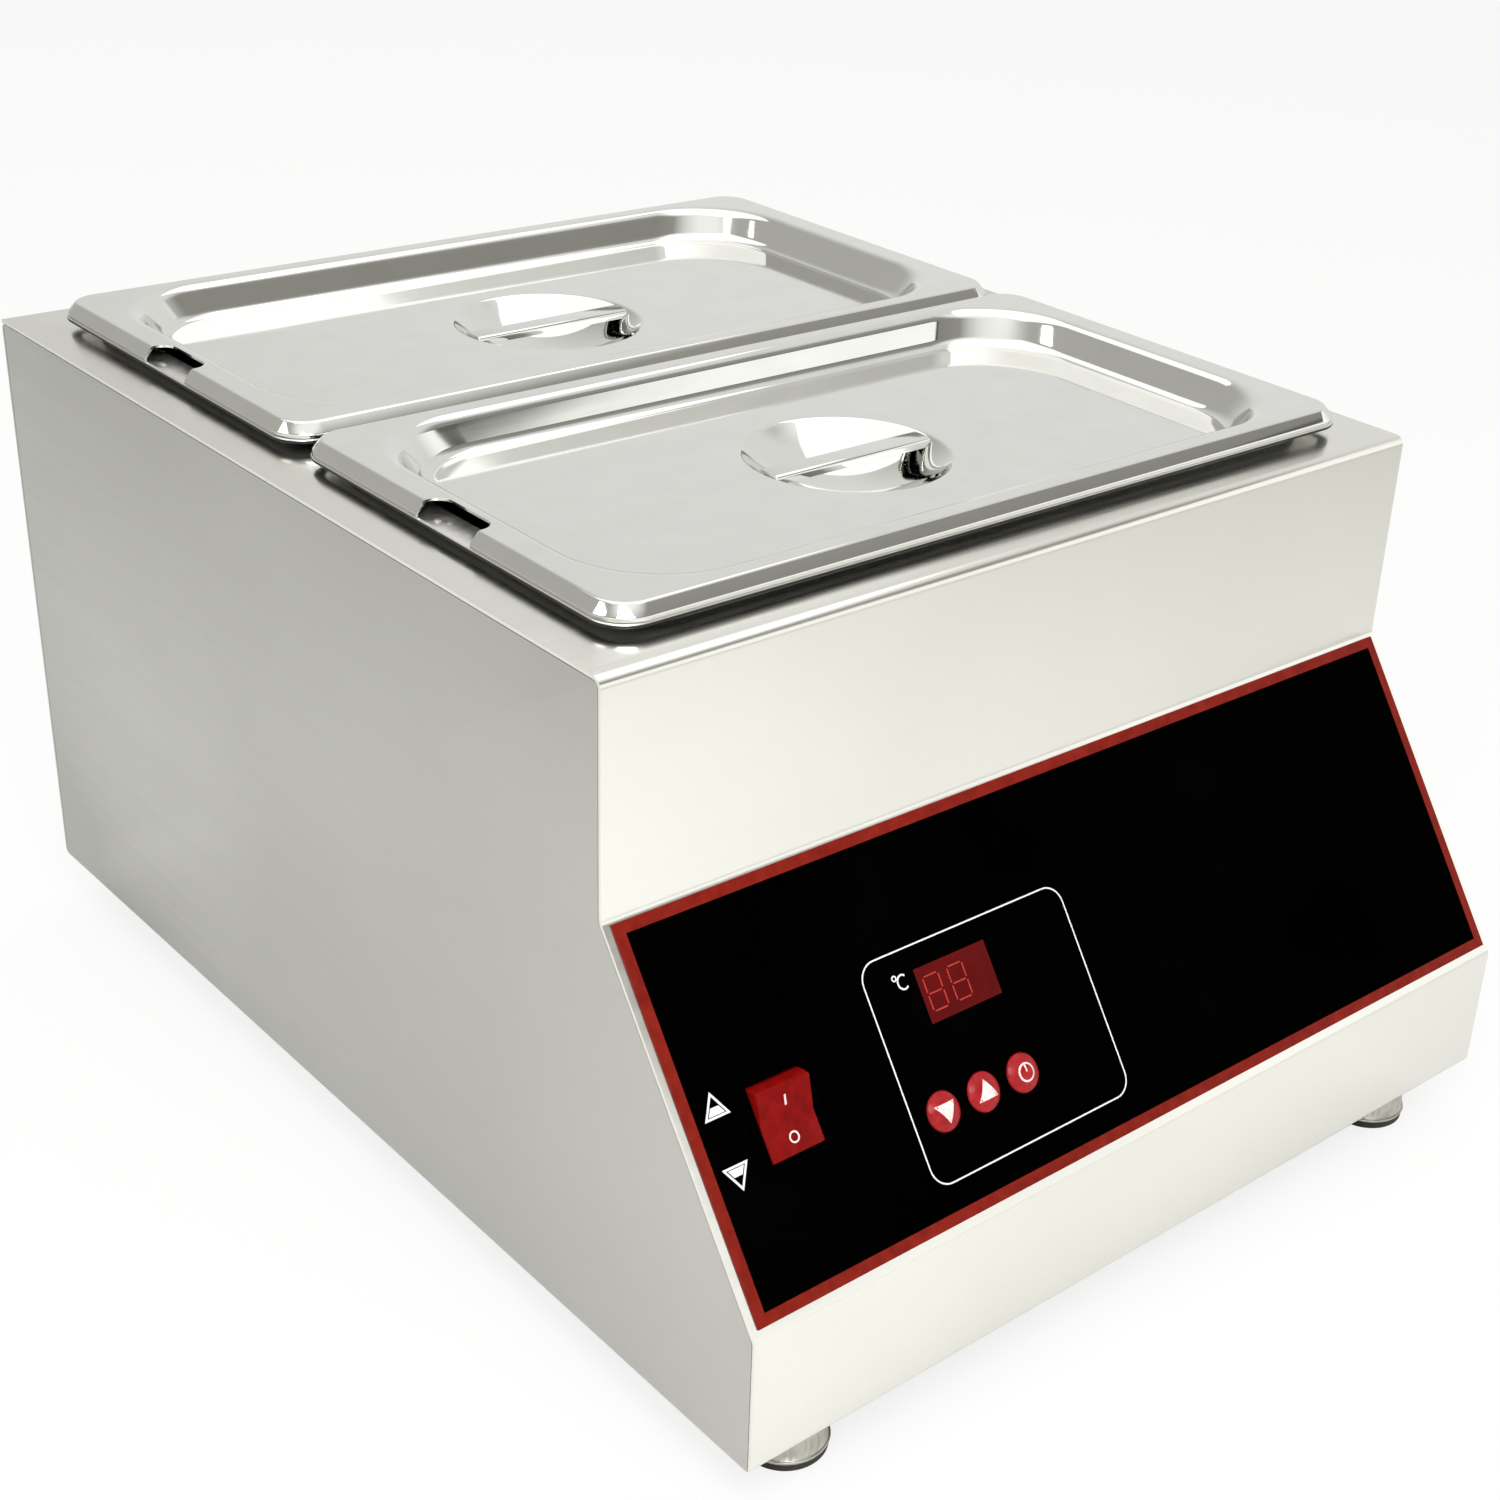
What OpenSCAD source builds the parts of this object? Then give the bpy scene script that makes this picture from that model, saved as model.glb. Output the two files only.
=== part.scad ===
// Countertop melting pot with two lift-out pans in a heated water bath, in millimetres
// X runs along the front, -Y is the front, +Z is up, the origin is the middle of the footprint on the table

/* [Pans] */
// Length of a pan over its rim
pan_l = 325; // [316:1:332]
// Width of a pan over its rim
pan_w = 176; // [170:1:180]
// Depth of a pan from its rim to the underside of its floor
pan_depth = 100; // [80:1:105]
// Sheet thickness of a pan
pan_wall = 0.8; // [0.6:0.1:1.0]
// Corner radius of the rim
rim_corner_r = 12; // [10:0.5:14]
// Radius of the rolled edge of the rim
rim_roll_r = 0.9; // [0.8:0.05:1.1]
// Width of the flat rim round the mouth
rim_w = 10; // [9:0.5:11]
// Corner radius of the mouth
mouth_corner_r = 40; // [36:1:44]
// Radius of the bend from the rim into the wall
mouth_bend_r = 3; // [2:0.25:3.5]
// Radius of the bend from the wall into the floor
pan_floor_r = 14; // [10:1:18]
// Lean of the pan wall from upright, in degrees
pan_draft = 4; // [3:0.5:6]
// Gap between the two pans
pan_gap = 4.8; // [4:0.2:7]

/* [Lids] */
// Sheet thickness of a lid
lid_wall = 0.8; // [0.6:0.1:1.0]
// Corner radius of the outer lip
lip_corner_r = 13.5; // [11:0.5:15]
// Height of the outer lip
lip_h = 4.9; // [4.4:0.1:5.6]
// Radius that rolls the lip into the flat border
lip_bend_r = 3.4; // [2.6:0.1:3.8]
// Width of the border along the long sides
border_long_w = 8; // [7.5:0.25:9]
// Width of the border along the short sides
border_short_w = 11.5; // [11:0.25:13]
// Depth of the pressed recess
recess_depth = 12; // [10:0.5:14]
// Corner radius of the recess at the border
recess_corner_r = 42; // [38:1:46]
// Radius of the bends at the top and foot of the recess wall
recess_bend_r = 5; // [3.5:0.25:5.5]
// Lean of the recess wall from upright, in degrees
recess_lean = 25; // [18:1:30]
// Width of the ladle notch
notch_w = 30; // [24:1:36]
// Depth of the ladle notch from the lip
notch_d = 10; // [8:0.5:10.5]
// Corner radius of the ladle notch
notch_r = 5.5; // [4:0.5:7]
// Diameter of the finger dish
dish_d = 76.5; // [66:0.5:84]
// Depth of the finger dish
dish_depth = 14; // [11:0.5:16]
// Width of the bridge handle
bridge_w = 9.5; // [8:0.5:12]
// Depth of the folded edges of the bridge handle
bridge_lip_h = 3.2; // [2.4:0.2:4]
// Sheet thickness of the bridge handle
bridge_wall = 1.2; // [1:0.1:1.6]

/* [Casing] */
// Sheet thickness of the casing
sheet_t = 1.2; // [1:0.1:1.5]
// Bare deck left and right of the pans
deck_side_w = 15.3; // [14.5:0.1:20]
// Bare deck in front of and behind the pans
deck_front_w = 15; // [14.5:0.1:20]
// Height of the upright band above the slope
fascia_h = 77; // [72:1:84]
// Height that the slope drops
slope_h = 104.6; // [98:0.2:112]
// Distance that the slope runs forward
slope_run = 75.2; // [68:0.2:82]
// Height of the skirt under the slope
skirt_h = 49.7; // [44:0.1:56]
// Outer radius of the bends across the front
fold_r = 3.5; // [2.5:0.25:5]
// Width of the flanges inside the casing
flange_w = 12; // [10:0.5:13]
// Seam between two sheets
seam = 0.25; // [0.2:0.05:0.4]
// Height of the upturned collars that carry the pans
collar_h = 3.8; // [3.2:0.1:4.6]
// How far a pan rim stands out past its collar
collar_inset = 6; // [5:0.25:6.5]
// Corner radius of the deck openings
opening_corner_r = 20; // [16:1:26]

/* [Feet] */
// Height of the base plate above the table
foot_h = 19.05; // [16:0.05:25]
// Diameter of the rubber pads
foot_pad_d = 28.2; // [24:0.2:32]
// Pad left showing below the cup
foot_pad_show = 3; // [2:0.25:4]
// Distance from a foot's axis to the side of the casing
foot_side_in = 31.6; // [28:0.2:40]
// Distance from a foot's axis to the front or back of the casing
foot_front_in = 21.4; // [20.5:0.1:32]

/* [Control panel] */
// Bare steel left beside the panel
panel_side_in = 2.5; // [2:0.1:5]
// Bare steel left between the panel and the upper fold
panel_top_in = 1.6; // [1.5:0.1:3]
// Bare steel left between the panel and the lower fold
panel_bottom_in = 3.6; // [3:0.1:6]
// Thickness of the panel plate
panel_t = 0.8; // [0.6:0.1:1.2]
// Width of the red trim
trim_w = 3.7; // [3:0.1:5]
// Width of the display window
window_w = 30.2; // [27:0.2:33]
// Height of the display window
window_h = 18; // [15:0.2:20]
// Diameter of a push button
button_d = 13; // [11:0.2:14]
// Height of a button's dome above the panel
button_rise = 2.2; // [1.6:0.1:3]
// Travel of a push button
button_travel = 1.2; // [0.8:0.1:1.5]
// Width of the rocker
rocker_w = 20; // [18:0.25:22]
// Length of the rocker over its ends
rocker_l = 24.5; // [22:0.25:27]
// Angle that the rocker swings through
rocker_swing = 22; // [18:1:24]

/* [Water bath] */
// Sheet thickness of the tank
tank_wall = 1; // [0.8:0.1:1.2]
// Room between a deck opening and the tank wall
tank_margin = 2; // [1.5:0.25:2.5]
// Water below the pans
tank_water = 34; // [30:1:40]
// Diameter of the heating tube
heater_d = 8; // [6.5:0.5:9]
// Bend radius of the heating tube
heater_bend_r = 35; // [30:1:36]
// Height of the heating tube's axis above the tank floor
heater_rise = 17; // [15:0.5:19]
// Diameter of the temperature probe
probe_d = 6; // [5:0.5:7]

/* [Mains lead entry] */
// Diameter of the lead that the gland holds
lead_d = 8; // [6:0.5:9]
// Length that the gland stands out of the back
gland_out = 20; // [18:0.5:24]

/* [Hidden] */
$fn = 64;

// Clearances
overrun = 1;
rest_gap = 0.2;
fit_gap = 0.15;
fold_steps = 6;
flat_tail = 0.8;

// Casing places
pan_pitch = pan_w + pan_gap;
case_w = pan_l + 2 * deck_side_w;
deck_d = pan_w + pan_pitch + 2 * deck_front_w;
base_d = deck_d + slope_run;
front_y = -(base_d + gland_out) / 2;
rear_y = front_y + base_d;
fascia_y = front_y + slope_run;
wall_foot_z = foot_h + sheet_t + seam;
skirt_top_z = wall_foot_z + skirt_h;
slope_top_z = skirt_top_z + slope_h;
deck_z = slope_top_z + fascia_h;
slope_l = norm([slope_run, slope_h]);
slope_tilt = atan(slope_run / slope_h);
panel_inset = sheet_t + seam;
flange_half_w = case_w / 2 - flange_w - 2 * seam;
pan_front_y = fascia_y + deck_front_w + pan_w / 2;
pan_rear_y = pan_front_y + pan_pitch;

// Deck openings, and the levels of the pans and lids
opening_l = pan_l - 2 * collar_inset - 2 * sheet_t;
opening_w = pan_w - 2 * collar_inset - 2 * sheet_t;
rim_top_z = deck_z + collar_h + rest_gap + pan_wall;
lid_foot_z = rim_top_z + rest_gap;
lid_top_z = lid_foot_z + lip_h;
lid_floor_z = lid_top_z - recess_depth;
pan_foot_z = rim_top_z - pan_depth;

// Tank
tank_bend_r = 2;
tank_l = opening_l + 2 * (tank_margin + tank_bend_r);
tank_d = pan_pitch + opening_w + 2 * (tank_margin + tank_bend_r);
tank_y = (pan_front_y + pan_rear_y) / 2;
tank_top_z = deck_z - sheet_t;
tank_floor_z = pan_foot_z - tank_water;
tank_corner_r = opening_corner_r;
tank_floor_r = 8;
tank_depth = tank_top_z - tank_floor_z;
tank_flange_w = min(deck_side_w, deck_front_w) + collar_inset + sheet_t
    - flange_w - tank_margin - tank_bend_r - 4 * seam;
tank_wall_y = tank_y - tank_d / 2 + tank_bend_r;

// Points of an arc about a centre
function arc(c, r, a0, a1, n = fold_steps) =
    [for (i = [0:n]) let (a = a0 + (a1 - a0) * i / n) c + r * [cos(a), sin(a)]];

function unit(v) = v / norm(v);
function left_of(v) = [-v.y, v.x];
function turn(a, b, c) = (b.x - a.x) * (c.y - b.y) - (b.y - a.y) * (c.x - b.x);
function backwards(p) = [for (i = [len(p) - 1:-1:0]) p[i]];

// Corner b of a path, moved by d to the left of it
function mitre(a, b, c, d) =
    let (m = left_of(unit(b - a)) + left_of(unit(c - b))) b + m * (2 * d / (m * m));

// The arc that rounds corner b
function bend(a, b, c, r) =
    let (u = unit(a - b), v = unit(c - b), half = acos(u * v) / 2)
    let (centre = b + unit(u + v) * r / sin(half), start = b + u * r / tan(half))
    let (a0 = atan2(start.y - centre.y, start.x - centre.x))
    arc(centre, r, a0, a0 + sign(turn(a, b, c)) * (180 - 2 * half));

// One side of a folded sheet: the path moved left by d, its bends kept concentric
function fold_side(path, radii, d) =
    let (last = len(path) - 1)
    let (m = [for (i = [0:last])
        i == 0 ? path[0] + d * left_of(unit(path[1] - path[0]))
        : i == last ? path[last] + d * left_of(unit(path[last] - path[last - 1]))
        : mitre(path[i - 1], path[i], path[i + 1], d)])
    [for (i = [0:last])
        each (i == 0 || i == last ? [m[i]]
            : bend(m[i - 1], m[i], m[i + 1],
                radii[i] - d * sign(turn(m[i - 1], m[i], m[i + 1]))))];

function folded_sheet(path, radii, t) =
    concat(fold_side(path, radii, 0), backwards(fold_side(path, radii, t)));

// A closed outline moved inwards by d, its bends kept concentric
function outline_in(loop, radii, d) =
    let (n = len(loop))
    let (m = [for (i = [0:n - 1]) mitre(loop[(i + n - 1) % n], loop[i], loop[(i + 1) % n], d)])
    [for (i = [0:n - 1]) let (before = m[(i + n - 1) % n], after = m[(i + 1) % n])
        let (r = radii[i] - d * sign(turn(before, m[i], after)))
        each (radii[i] == 0 || r <= 0 ? [m[i]] : bend(before, m[i], after, r))];

// The casing seen from its right side, as [y, z]
case_corners = [
    [rear_y, deck_z], [fascia_y, deck_z], [fascia_y, slope_top_z],
    [front_y, skirt_top_z], [front_y, foot_h], [rear_y, foot_h]
];
case_radii = [0, fold_r, fold_r, fold_r, 0, 0];
cover_path = [
    [rear_y, deck_z], [fascia_y, deck_z], [fascia_y, slope_top_z],
    [front_y, skirt_top_z], [front_y, wall_foot_z], [front_y + flange_w, wall_foot_z]
];
cover_radii = [0, fold_r, fold_r, fold_r, 2 * sheet_t, 0];

// Wall of a pressed recess as [distance from the corner's axis, height], from the flat at its top
// to the flat at its floor, with a short tail along each flat; the upper side lies on the named radii
function wall_run(depth, top_r, foot_r, lean) =
    (top_r + foot_r) * cos(lean)
    + (depth - (top_r + foot_r) * (1 - sin(lean))) * tan(lean);

function pressed_wall(corner_r, depth, top_r, foot_r, lean, t) =
    let (run = wall_run(depth, top_r, foot_r, lean))
    let (top_c = [corner_r, -top_r], foot_c = [corner_r - run, foot_r - depth])
    concat(
        [[corner_r + flat_tail, 0]],
        arc(top_c, top_r, 90, 180 - lean),
        arc(foot_c, foot_r, -lean, -90),
        [[foot_c.x - flat_tail, -depth], [foot_c.x - flat_tail, -depth - t]],
        arc(foot_c, foot_r + t, -90, -lean),
        arc(top_c, top_r - t, 180 - lean, 90),
        [[corner_r + flat_tail, -t]]
    );

module rounded_rect(x, y, r) {
    square([x - 2 * r, y], center = true);
    square([x, y - 2 * r], center = true);
    for (i = [-1, 1], j = [-1, 1])
        translate([i * (x / 2 - r), j * (y / 2 - r)]) circle(r);
}

// Sweeps a profile round a rectangle x by y whose corners have radius r;
// the profile's x is its distance from the corner's axis
module swept_rect(x, y, r) {
    run_x = x - 2 * r;
    run_y = y - 2 * r;
    for (i = [0, 1], j = [0, 1])
        mirror([i, 0, 0]) mirror([0, j, 0])
            translate([run_x / 2, run_y / 2, 0]) rotate_extrude(angle = 90) children();
    for (j = [0, 1])
        mirror([0, j, 0]) translate([-run_x / 2, run_y / 2, 0])
            rotate([90, 0, 90]) linear_extrude(run_x) children();
    for (i = [0, 1])
        mirror([i, 0, 0]) translate([run_x / 2, run_y / 2, 0])
            rotate([90, 0, 0]) linear_extrude(run_y) children();
}

module tube(r_out, r_in, h) {
    difference() {
        cylinder(r = r_out, h = h);
        translate([0, 0, -overrun]) cylinder(r = r_in, h = h + 2 * overrun);
    }
}

// Hexagon over its flats, drilled
module hex_nut(flats, r_in, h) {
    difference() {
        cylinder(d = flats / cos(30), h = h, $fn = 6);
        translate([0, 0, -overrun]) cylinder(r = r_in, h = h + 2 * overrun);
    }
}

// Pan head screw pointing down, its head seated on z = 0
module pan_screw(r, length, head_r, head_h) {
    translate([0, 0, -length]) cylinder(r = r, h = length);
    cylinder(r1 = head_r, r2 = head_r * screw_dome_share, h = head_h);
}
screw_dome_share = 0.75;

// Places of the casing screws
screw_r = 2;
screw_l = 7;
screw_head_r = 3.6;
screw_head_h = 2;
screw_hole_r = screw_r + fit_gap;
flange_mid = flange_w / 2 + sheet_t;
rear_screw_rows = [wall_foot_z + 2 * flange_w, deck_z - 3 * flange_w];
base_screw_columns = [front_y + 5 * flange_w, (front_y + rear_y) / 2, rear_y - 5 * flange_w];

module rear_screw_places() {
    for (i = [-1, 1], z = rear_screw_rows)
        translate([i * (case_w / 2 - flange_mid), rear_y, z]) rotate([-90, 0, 0]) children();
}

module base_screw_places() {
    for (i = [-1, 1], y = base_screw_columns)
        translate([i * (case_w / 2 - flange_mid), y, foot_h]) rotate([180, 0, 0]) children();
}

// One foot: i is -1 on the left and 1 on the right, j is -1 in front and 1 behind
module at_foot(i, j) {
    translate([
        i * (case_w / 2 - foot_side_in), (front_y + rear_y) / 2 + j * (base_d / 2 - foot_front_in), 0
    ]) children();
}

module foot_places() {
    for (i = [-1, 1], j = [-1, 1]) at_foot(i, j) children();
}

module pan_places() {
    for (y = [pan_front_y, pan_rear_y]) translate([0, y, 0]) children();
}

// Lays children on the slope: x from its left edge, y up from the lower fold, z outwards
module on_slope() {
    translate([-case_w / 2, front_y, skirt_top_z]) rotate([90 - slope_tilt, 0, 0]) children();
}

// Places on the slope, measured from its left edge and down from the upper fold
window_u = 113.2;
window_v = 57;
button_u = 90.7;
button_v = 92;
button_pitch = 17.2;
rocker_u = 35.5;
rocker_v = 72.3;
button_gap = 0.3;
panel_w = case_w - 2 * panel_side_in;
panel_h = slope_l - panel_top_in - panel_bottom_in;

module on_panel() {
    on_slope() translate([case_w / 2, panel_bottom_in + panel_h / 2, 0]) children();
}

module at_window() {
    on_slope() translate([window_u, slope_l - window_v, 0]) children();
}

module at_button(i) {
    on_slope() translate([button_u + i * button_pitch, slope_l - button_v, 0]) children();
}

module at_rocker() {
    on_slope() translate([rocker_u, slope_l - rocker_v, 0]) children();
}

// Rocker and its housing
rocker_side_gap = 0.4;
housing_wall = 1.3;
housing_w = rocker_w + 2 * (rocker_side_gap + housing_wall);
housing_l = rocker_l + 2 * (rocker_side_gap + housing_wall);
housing_depth = 20;
housing_floor = 3;
bezel_w = 1.4;
bezel_t = 1.2;
pivot_depth = 2;
pivot_r = 1.5;
pivot_gap = 0.05;

// The cut-outs that the cover and the panel share
module panel_cutouts() {
    at_window() cube([window_w + 2 * fit_gap, window_h + 2 * fit_gap, 4 * sheet_t], center = true);
    for (i = [0:2])
        at_button(i) cylinder(d = button_d + 2 * button_gap, h = 4 * sheet_t, center = true);
    at_rocker() cube([housing_w + 2 * fit_gap, housing_l + 2 * fit_gap, 4 * sheet_t], center = true);
}

// Cuts the foot flanges of a folded sheet back between the side panels
module flange_ends(y_low, y_high, z_low, z_high) {
    for (i = [0, 1])
        mirror([i, 0, 0]) translate([flange_half_w, y_low, z_low])
            cube([case_w / 2, y_high - y_low, z_high - z_low]);
}

// Deck, band, slope and skirt, folded from one sheet
module top_front_cover() {
    color("#cfcdc6") difference() {
        union() {
            translate([-case_w / 2, 0, 0]) rotate([90, 0, 90])
                linear_extrude(case_w) polygon(folded_sheet(cover_path, cover_radii, sheet_t));
            pan_places() translate([0, 0, deck_z - sheet_t])
                linear_extrude(sheet_t + collar_h)
                    rounded_rect(opening_l + 2 * sheet_t, opening_w + 2 * sheet_t,
                        opening_corner_r + sheet_t);
        }
        pan_places() translate([0, 0, deck_z - sheet_t - overrun])
            linear_extrude(sheet_t + collar_h + 2 * overrun)
                rounded_rect(opening_l, opening_w, opening_corner_r);
        flange_ends(front_y + sheet_t, front_y + flange_w + overrun,
            wall_foot_z - overrun, wall_foot_z + 3 * sheet_t);
        panel_cutouts();
    }
}

// Side panel: a flat tray whose flanges turn in under the cover, the back and the base
module side_tray() {
    translate([case_w / 2 - flange_w, 0, 0]) rotate([90, 0, 90]) difference() {
        linear_extrude(flange_w) polygon(outline_in(case_corners, case_radii, panel_inset));
        translate([0, 0, -overrun]) linear_extrude(flange_w - sheet_t + overrun)
            polygon(outline_in(case_corners, case_radii, panel_inset + sheet_t));
    }
}

module drilled_side() {
    difference() {
        side_tray();
        rear_screw_places() cylinder(r = screw_hole_r, h = 2 * screw_l, center = true);
        base_screw_places() cylinder(r = screw_hole_r, h = 2 * screw_l, center = true);
    }
}

module side_panel_left() {
    color("#b4b3ae") mirror([1, 0, 0]) drilled_side();
}

module side_panel_right() {
    color("#b4b3ae") drilled_side();
}

rear_top_z = deck_z - panel_inset;
rear_path = [
    [rear_y - flange_w, wall_foot_z], [rear_y, wall_foot_z],
    [rear_y, rear_top_z], [rear_y - flange_w, rear_top_z]
];
rear_radii = [0, 2 * sheet_t, 2 * sheet_t, 0];

module rear_panel() {
    color("#b4b3ae") difference() {
        translate([-case_w / 2, 0, 0]) rotate([90, 0, 90])
            linear_extrude(case_w) polygon(folded_sheet(rear_path, rear_radii, sheet_t));
        flange_ends(rear_y - flange_w - overrun, rear_y - sheet_t,
            wall_foot_z - overrun, rear_top_z + overrun);
        rear_screw_places() cylinder(r = screw_hole_r, h = 4 * sheet_t, center = true);
        at_gland() cylinder(r = gland_thread_r + fit_gap, h = 4 * sheet_t, center = true);
    }
}

// Vents under the electronics
vent_l = 34;
vent_w = 4;
vent_pitch = 12;
vent_count = 9;
vent_back = 95;
vent_y = front_y + vent_back;
base_corner_r = 2;
base_in = 2.5;

module base_plate() {
    color("#a9a8a3") difference() {
        translate([0, (front_y + rear_y) / 2, foot_h])
            linear_extrude(sheet_t) rounded_rect(case_w - 2 * base_in, base_d - 2 * base_in, base_corner_r);
        foot_places() translate([0, 0, foot_h - overrun])
            cylinder(r = foot_screw_r + fit_gap, h = sheet_t + 2 * overrun);
        base_screw_places() cylinder(r = screw_hole_r, h = 4 * sheet_t, center = true);
        for (i = [0:vent_count - 1])
            translate([(i - (vent_count - 1) / 2) * vent_pitch, vent_y, foot_h - overrun])
                linear_extrude(sheet_t + 2 * overrun) rounded_rect(vent_w, vent_l, vent_w / 2 - seam);
    }
}

module casing_screws() {
    color("silver") rear_screw_places() pan_screw(screw_r, screw_l, screw_head_r, screw_head_h);
}

module base_screws() {
    color("silver") base_screw_places() pan_screw(screw_r, screw_l, screw_head_r, screw_head_h);
}

// A pan-like pressing: flat flange round the mouth, wall, bends and floor, its top face on z = 0
module pressing(mouth_x, mouth_y, corner_r, depth, top_r, foot_r, lean, t) {
    run = wall_run(depth, top_r, foot_r, lean);
    swept_rect(mouth_x, mouth_y, corner_r)
        polygon(pressed_wall(corner_r, depth, top_r, foot_r, lean, t));
    translate([0, 0, -depth - t]) linear_extrude(t)
        rounded_rect(mouth_x - 2 * run, mouth_y - 2 * run, corner_r - run);
}

// Flat ring between two rounded rectangles, its top face on z = 0
module flat_ring(out_x, out_y, out_r, in_x, in_y, in_r, t) {
    translate([0, 0, -t]) linear_extrude(t) difference() {
        rounded_rect(out_x, out_y, out_r);
        rounded_rect(in_x, in_y, in_r);
    }
}

// Fittings that pass through the front wall of the tank
heater_z = tank_floor_z + heater_rise;
heater_outer_x = 3 * heater_bend_r;
heater_back_y = tank_y + tank_d / 2 - tank_bend_r - 2 * tank_floor_r - heater_bend_r;
heater_turn_y = tank_wall_y + 3 * tank_floor_r + heater_bend_r;
bend_thinning = 0.1;
shank_wall = 2.5;
shank_r = heater_d / 2 + shank_wall;
shank_l = 14;
shank_flange_w = 4;
shank_flange_r = shank_r + shank_flange_w;
shank_flange_t = 3;
gasket_t = 1.5;
gasket_in = 1;
element_nut_wall = 3.5;
element_nut_flats = 2 * (shank_r + element_nut_wall);
element_nut_h = 5;
pin_r = 1.6;
pin_l = 7;
probe_x = 2 * heater_bend_r;
probe_in_l = 45;
probe_shank_wall = 1.5;
probe_shank_r = probe_d / 2 + probe_shank_wall;
probe_shank_l = 11;
probe_collar_w = 2;
probe_nut_wall = 2.5;
probe_nut_flats = 2 * (probe_shank_r + probe_nut_wall);
probe_nut_h = 4;

// Faces forward through the tank wall: the children's z = 0 is its inner face, +z points out of the tank
module at_tank_wall(x) {
    translate([x, tank_wall_y, heater_z]) rotate([90, 0, 0]) children();
}

// Open tank, hung by a flange that is welded under the deck
module water_tank() {
    color("#c2c1bc") difference() {
        translate([0, tank_y, tank_top_z]) union() {
            flat_ring(tank_l + 2 * tank_flange_w, tank_d + 2 * tank_flange_w, tank_corner_r + tank_flange_w,
                tank_l, tank_d, tank_corner_r, tank_wall);
            pressing(tank_l, tank_d, tank_corner_r, tank_depth, tank_bend_r, tank_floor_r, 0, tank_wall);
        }
        for (i = [-1, 1])
            at_tank_wall(i * heater_outer_x)
                cylinder(r = shank_r + fit_gap, h = 4 * tank_wall, center = true);
        at_tank_wall(probe_x) cylinder(r = probe_shank_r + fit_gap, h = 4 * tank_wall, center = true);
    }
}

// One leg of the heating tube, along Y
module heater_leg(x, y_low, y_high) {
    translate([x, y_high, heater_z]) rotate([90, 0, 0]) cylinder(d = heater_d, h = y_high - y_low);
}

// Half turn of the heating tube about [x, y], bulging to +Y, thinned a little by the bending
module heater_turn(x, y) {
    translate([x, y, heater_z])
        rotate_extrude(angle = 180) translate([heater_bend_r, 0]) circle(d = heater_d - bend_thinning);
}

// Tubular element bent into three turns, with a brazed flange and a threaded shank at each end
module heating_element() {
    color("#8d8a84") union() {
        for (i = [-1, 1]) {
            heater_leg(i * heater_outer_x, tank_wall_y - shank_l - tank_wall, heater_back_y);
            heater_leg(i * heater_bend_r, heater_turn_y, heater_back_y);
            heater_turn(2 * i * heater_bend_r, heater_back_y);
            at_tank_wall(i * heater_outer_x) {
                translate([0, 0, -gasket_t - shank_flange_t])
                    cylinder(r = shank_flange_r, h = shank_flange_t);
                translate([0, 0, -gasket_t - shank_flange_t])
                    cylinder(r = shank_r, h = shank_flange_t + gasket_t + shank_l);
                cylinder(r = pin_r, h = shank_l + tank_wall + pin_l);
            }
        }
        mirror([0, 1, 0]) heater_turn(0, -heater_turn_y);
    }
}

module element_gaskets() {
    color("#3a3a3a") for (i = [-1, 1])
        at_tank_wall(i * heater_outer_x) translate([0, 0, -gasket_t])
            tube(shank_flange_r - gasket_in, shank_r + fit_gap, gasket_t);
}

module element_nuts() {
    color("#c9a24a") for (i = [-1, 1])
        at_tank_wall(i * heater_outer_x) translate([0, 0, tank_wall])
            hex_nut(element_nut_flats, shank_r + pivot_gap, element_nut_h);
}

// Folded strip that holds the rear bends clear of the tank floor
support_l = 2 * heater_outer_x + 2 * heater_d;
support_w = 14;
support_h = heater_rise - heater_d / 2 - rest_gap;
support_foot_w = 10;

module heater_support() {
    t = tank_wall;
    color("#b9b8b3") translate([-support_l / 2, heater_back_y - support_w, tank_floor_z])
        rotate([90, 0, 90]) linear_extrude(support_l) polygon([
            [-support_w / 2 - support_foot_w, 0], [-support_w / 2, 0],
            [-support_w / 2, support_h - t], [support_w / 2, support_h - t],
            [support_w / 2, 0], [support_w / 2 + support_foot_w, 0],
            [support_w / 2 + support_foot_w, t], [support_w / 2 + t, t],
            [support_w / 2 + t, support_h], [-support_w / 2 - t, support_h],
            [-support_w / 2 - t, t], [-support_w / 2 - support_foot_w, t]
        ]);
}

// Sheathed probe with a collar and a threaded shank
module temperature_probe() {
    color("#d0cfca") at_tank_wall(probe_x) {
        translate([0, 0, -probe_in_l]) cylinder(d = probe_d, h = probe_in_l + probe_shank_l);
        translate([0, 0, -probe_in_l]) sphere(d = probe_d);
        translate([0, 0, -shank_flange_t]) cylinder(r = probe_shank_r + probe_collar_w, h = shank_flange_t);
        cylinder(r = probe_shank_r, h = probe_shank_l);
    }
}

module probe_nut() {
    color("#c9a24a") at_tank_wall(probe_x) translate([0, 0, tank_wall])
        hex_nut(probe_nut_flats, probe_shank_r + pivot_gap, probe_nut_h);
}

// Over-temperature cut-out, pressed against the underside of the tank by a bracket
cutout_r = 8;
cutout_h = 6;
cutout_flange_r = 11;
cutout_flange_t = 1.5;
blade_w = 6.3;
blade_t = 0.8;
blade_l = 9;
cutout_screw_x = 20;
bracket_t = 1.2;
bracket_w = 2 * cutout_flange_r;
bracket_end = 6;
stud_r = 2;
stud_end = 1;
cutout_top_z = tank_floor_z - tank_wall;

module at_cutout() {
    translate([0, tank_y, cutout_top_z]) rotate([180, 0, 0]) children();
}

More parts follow.
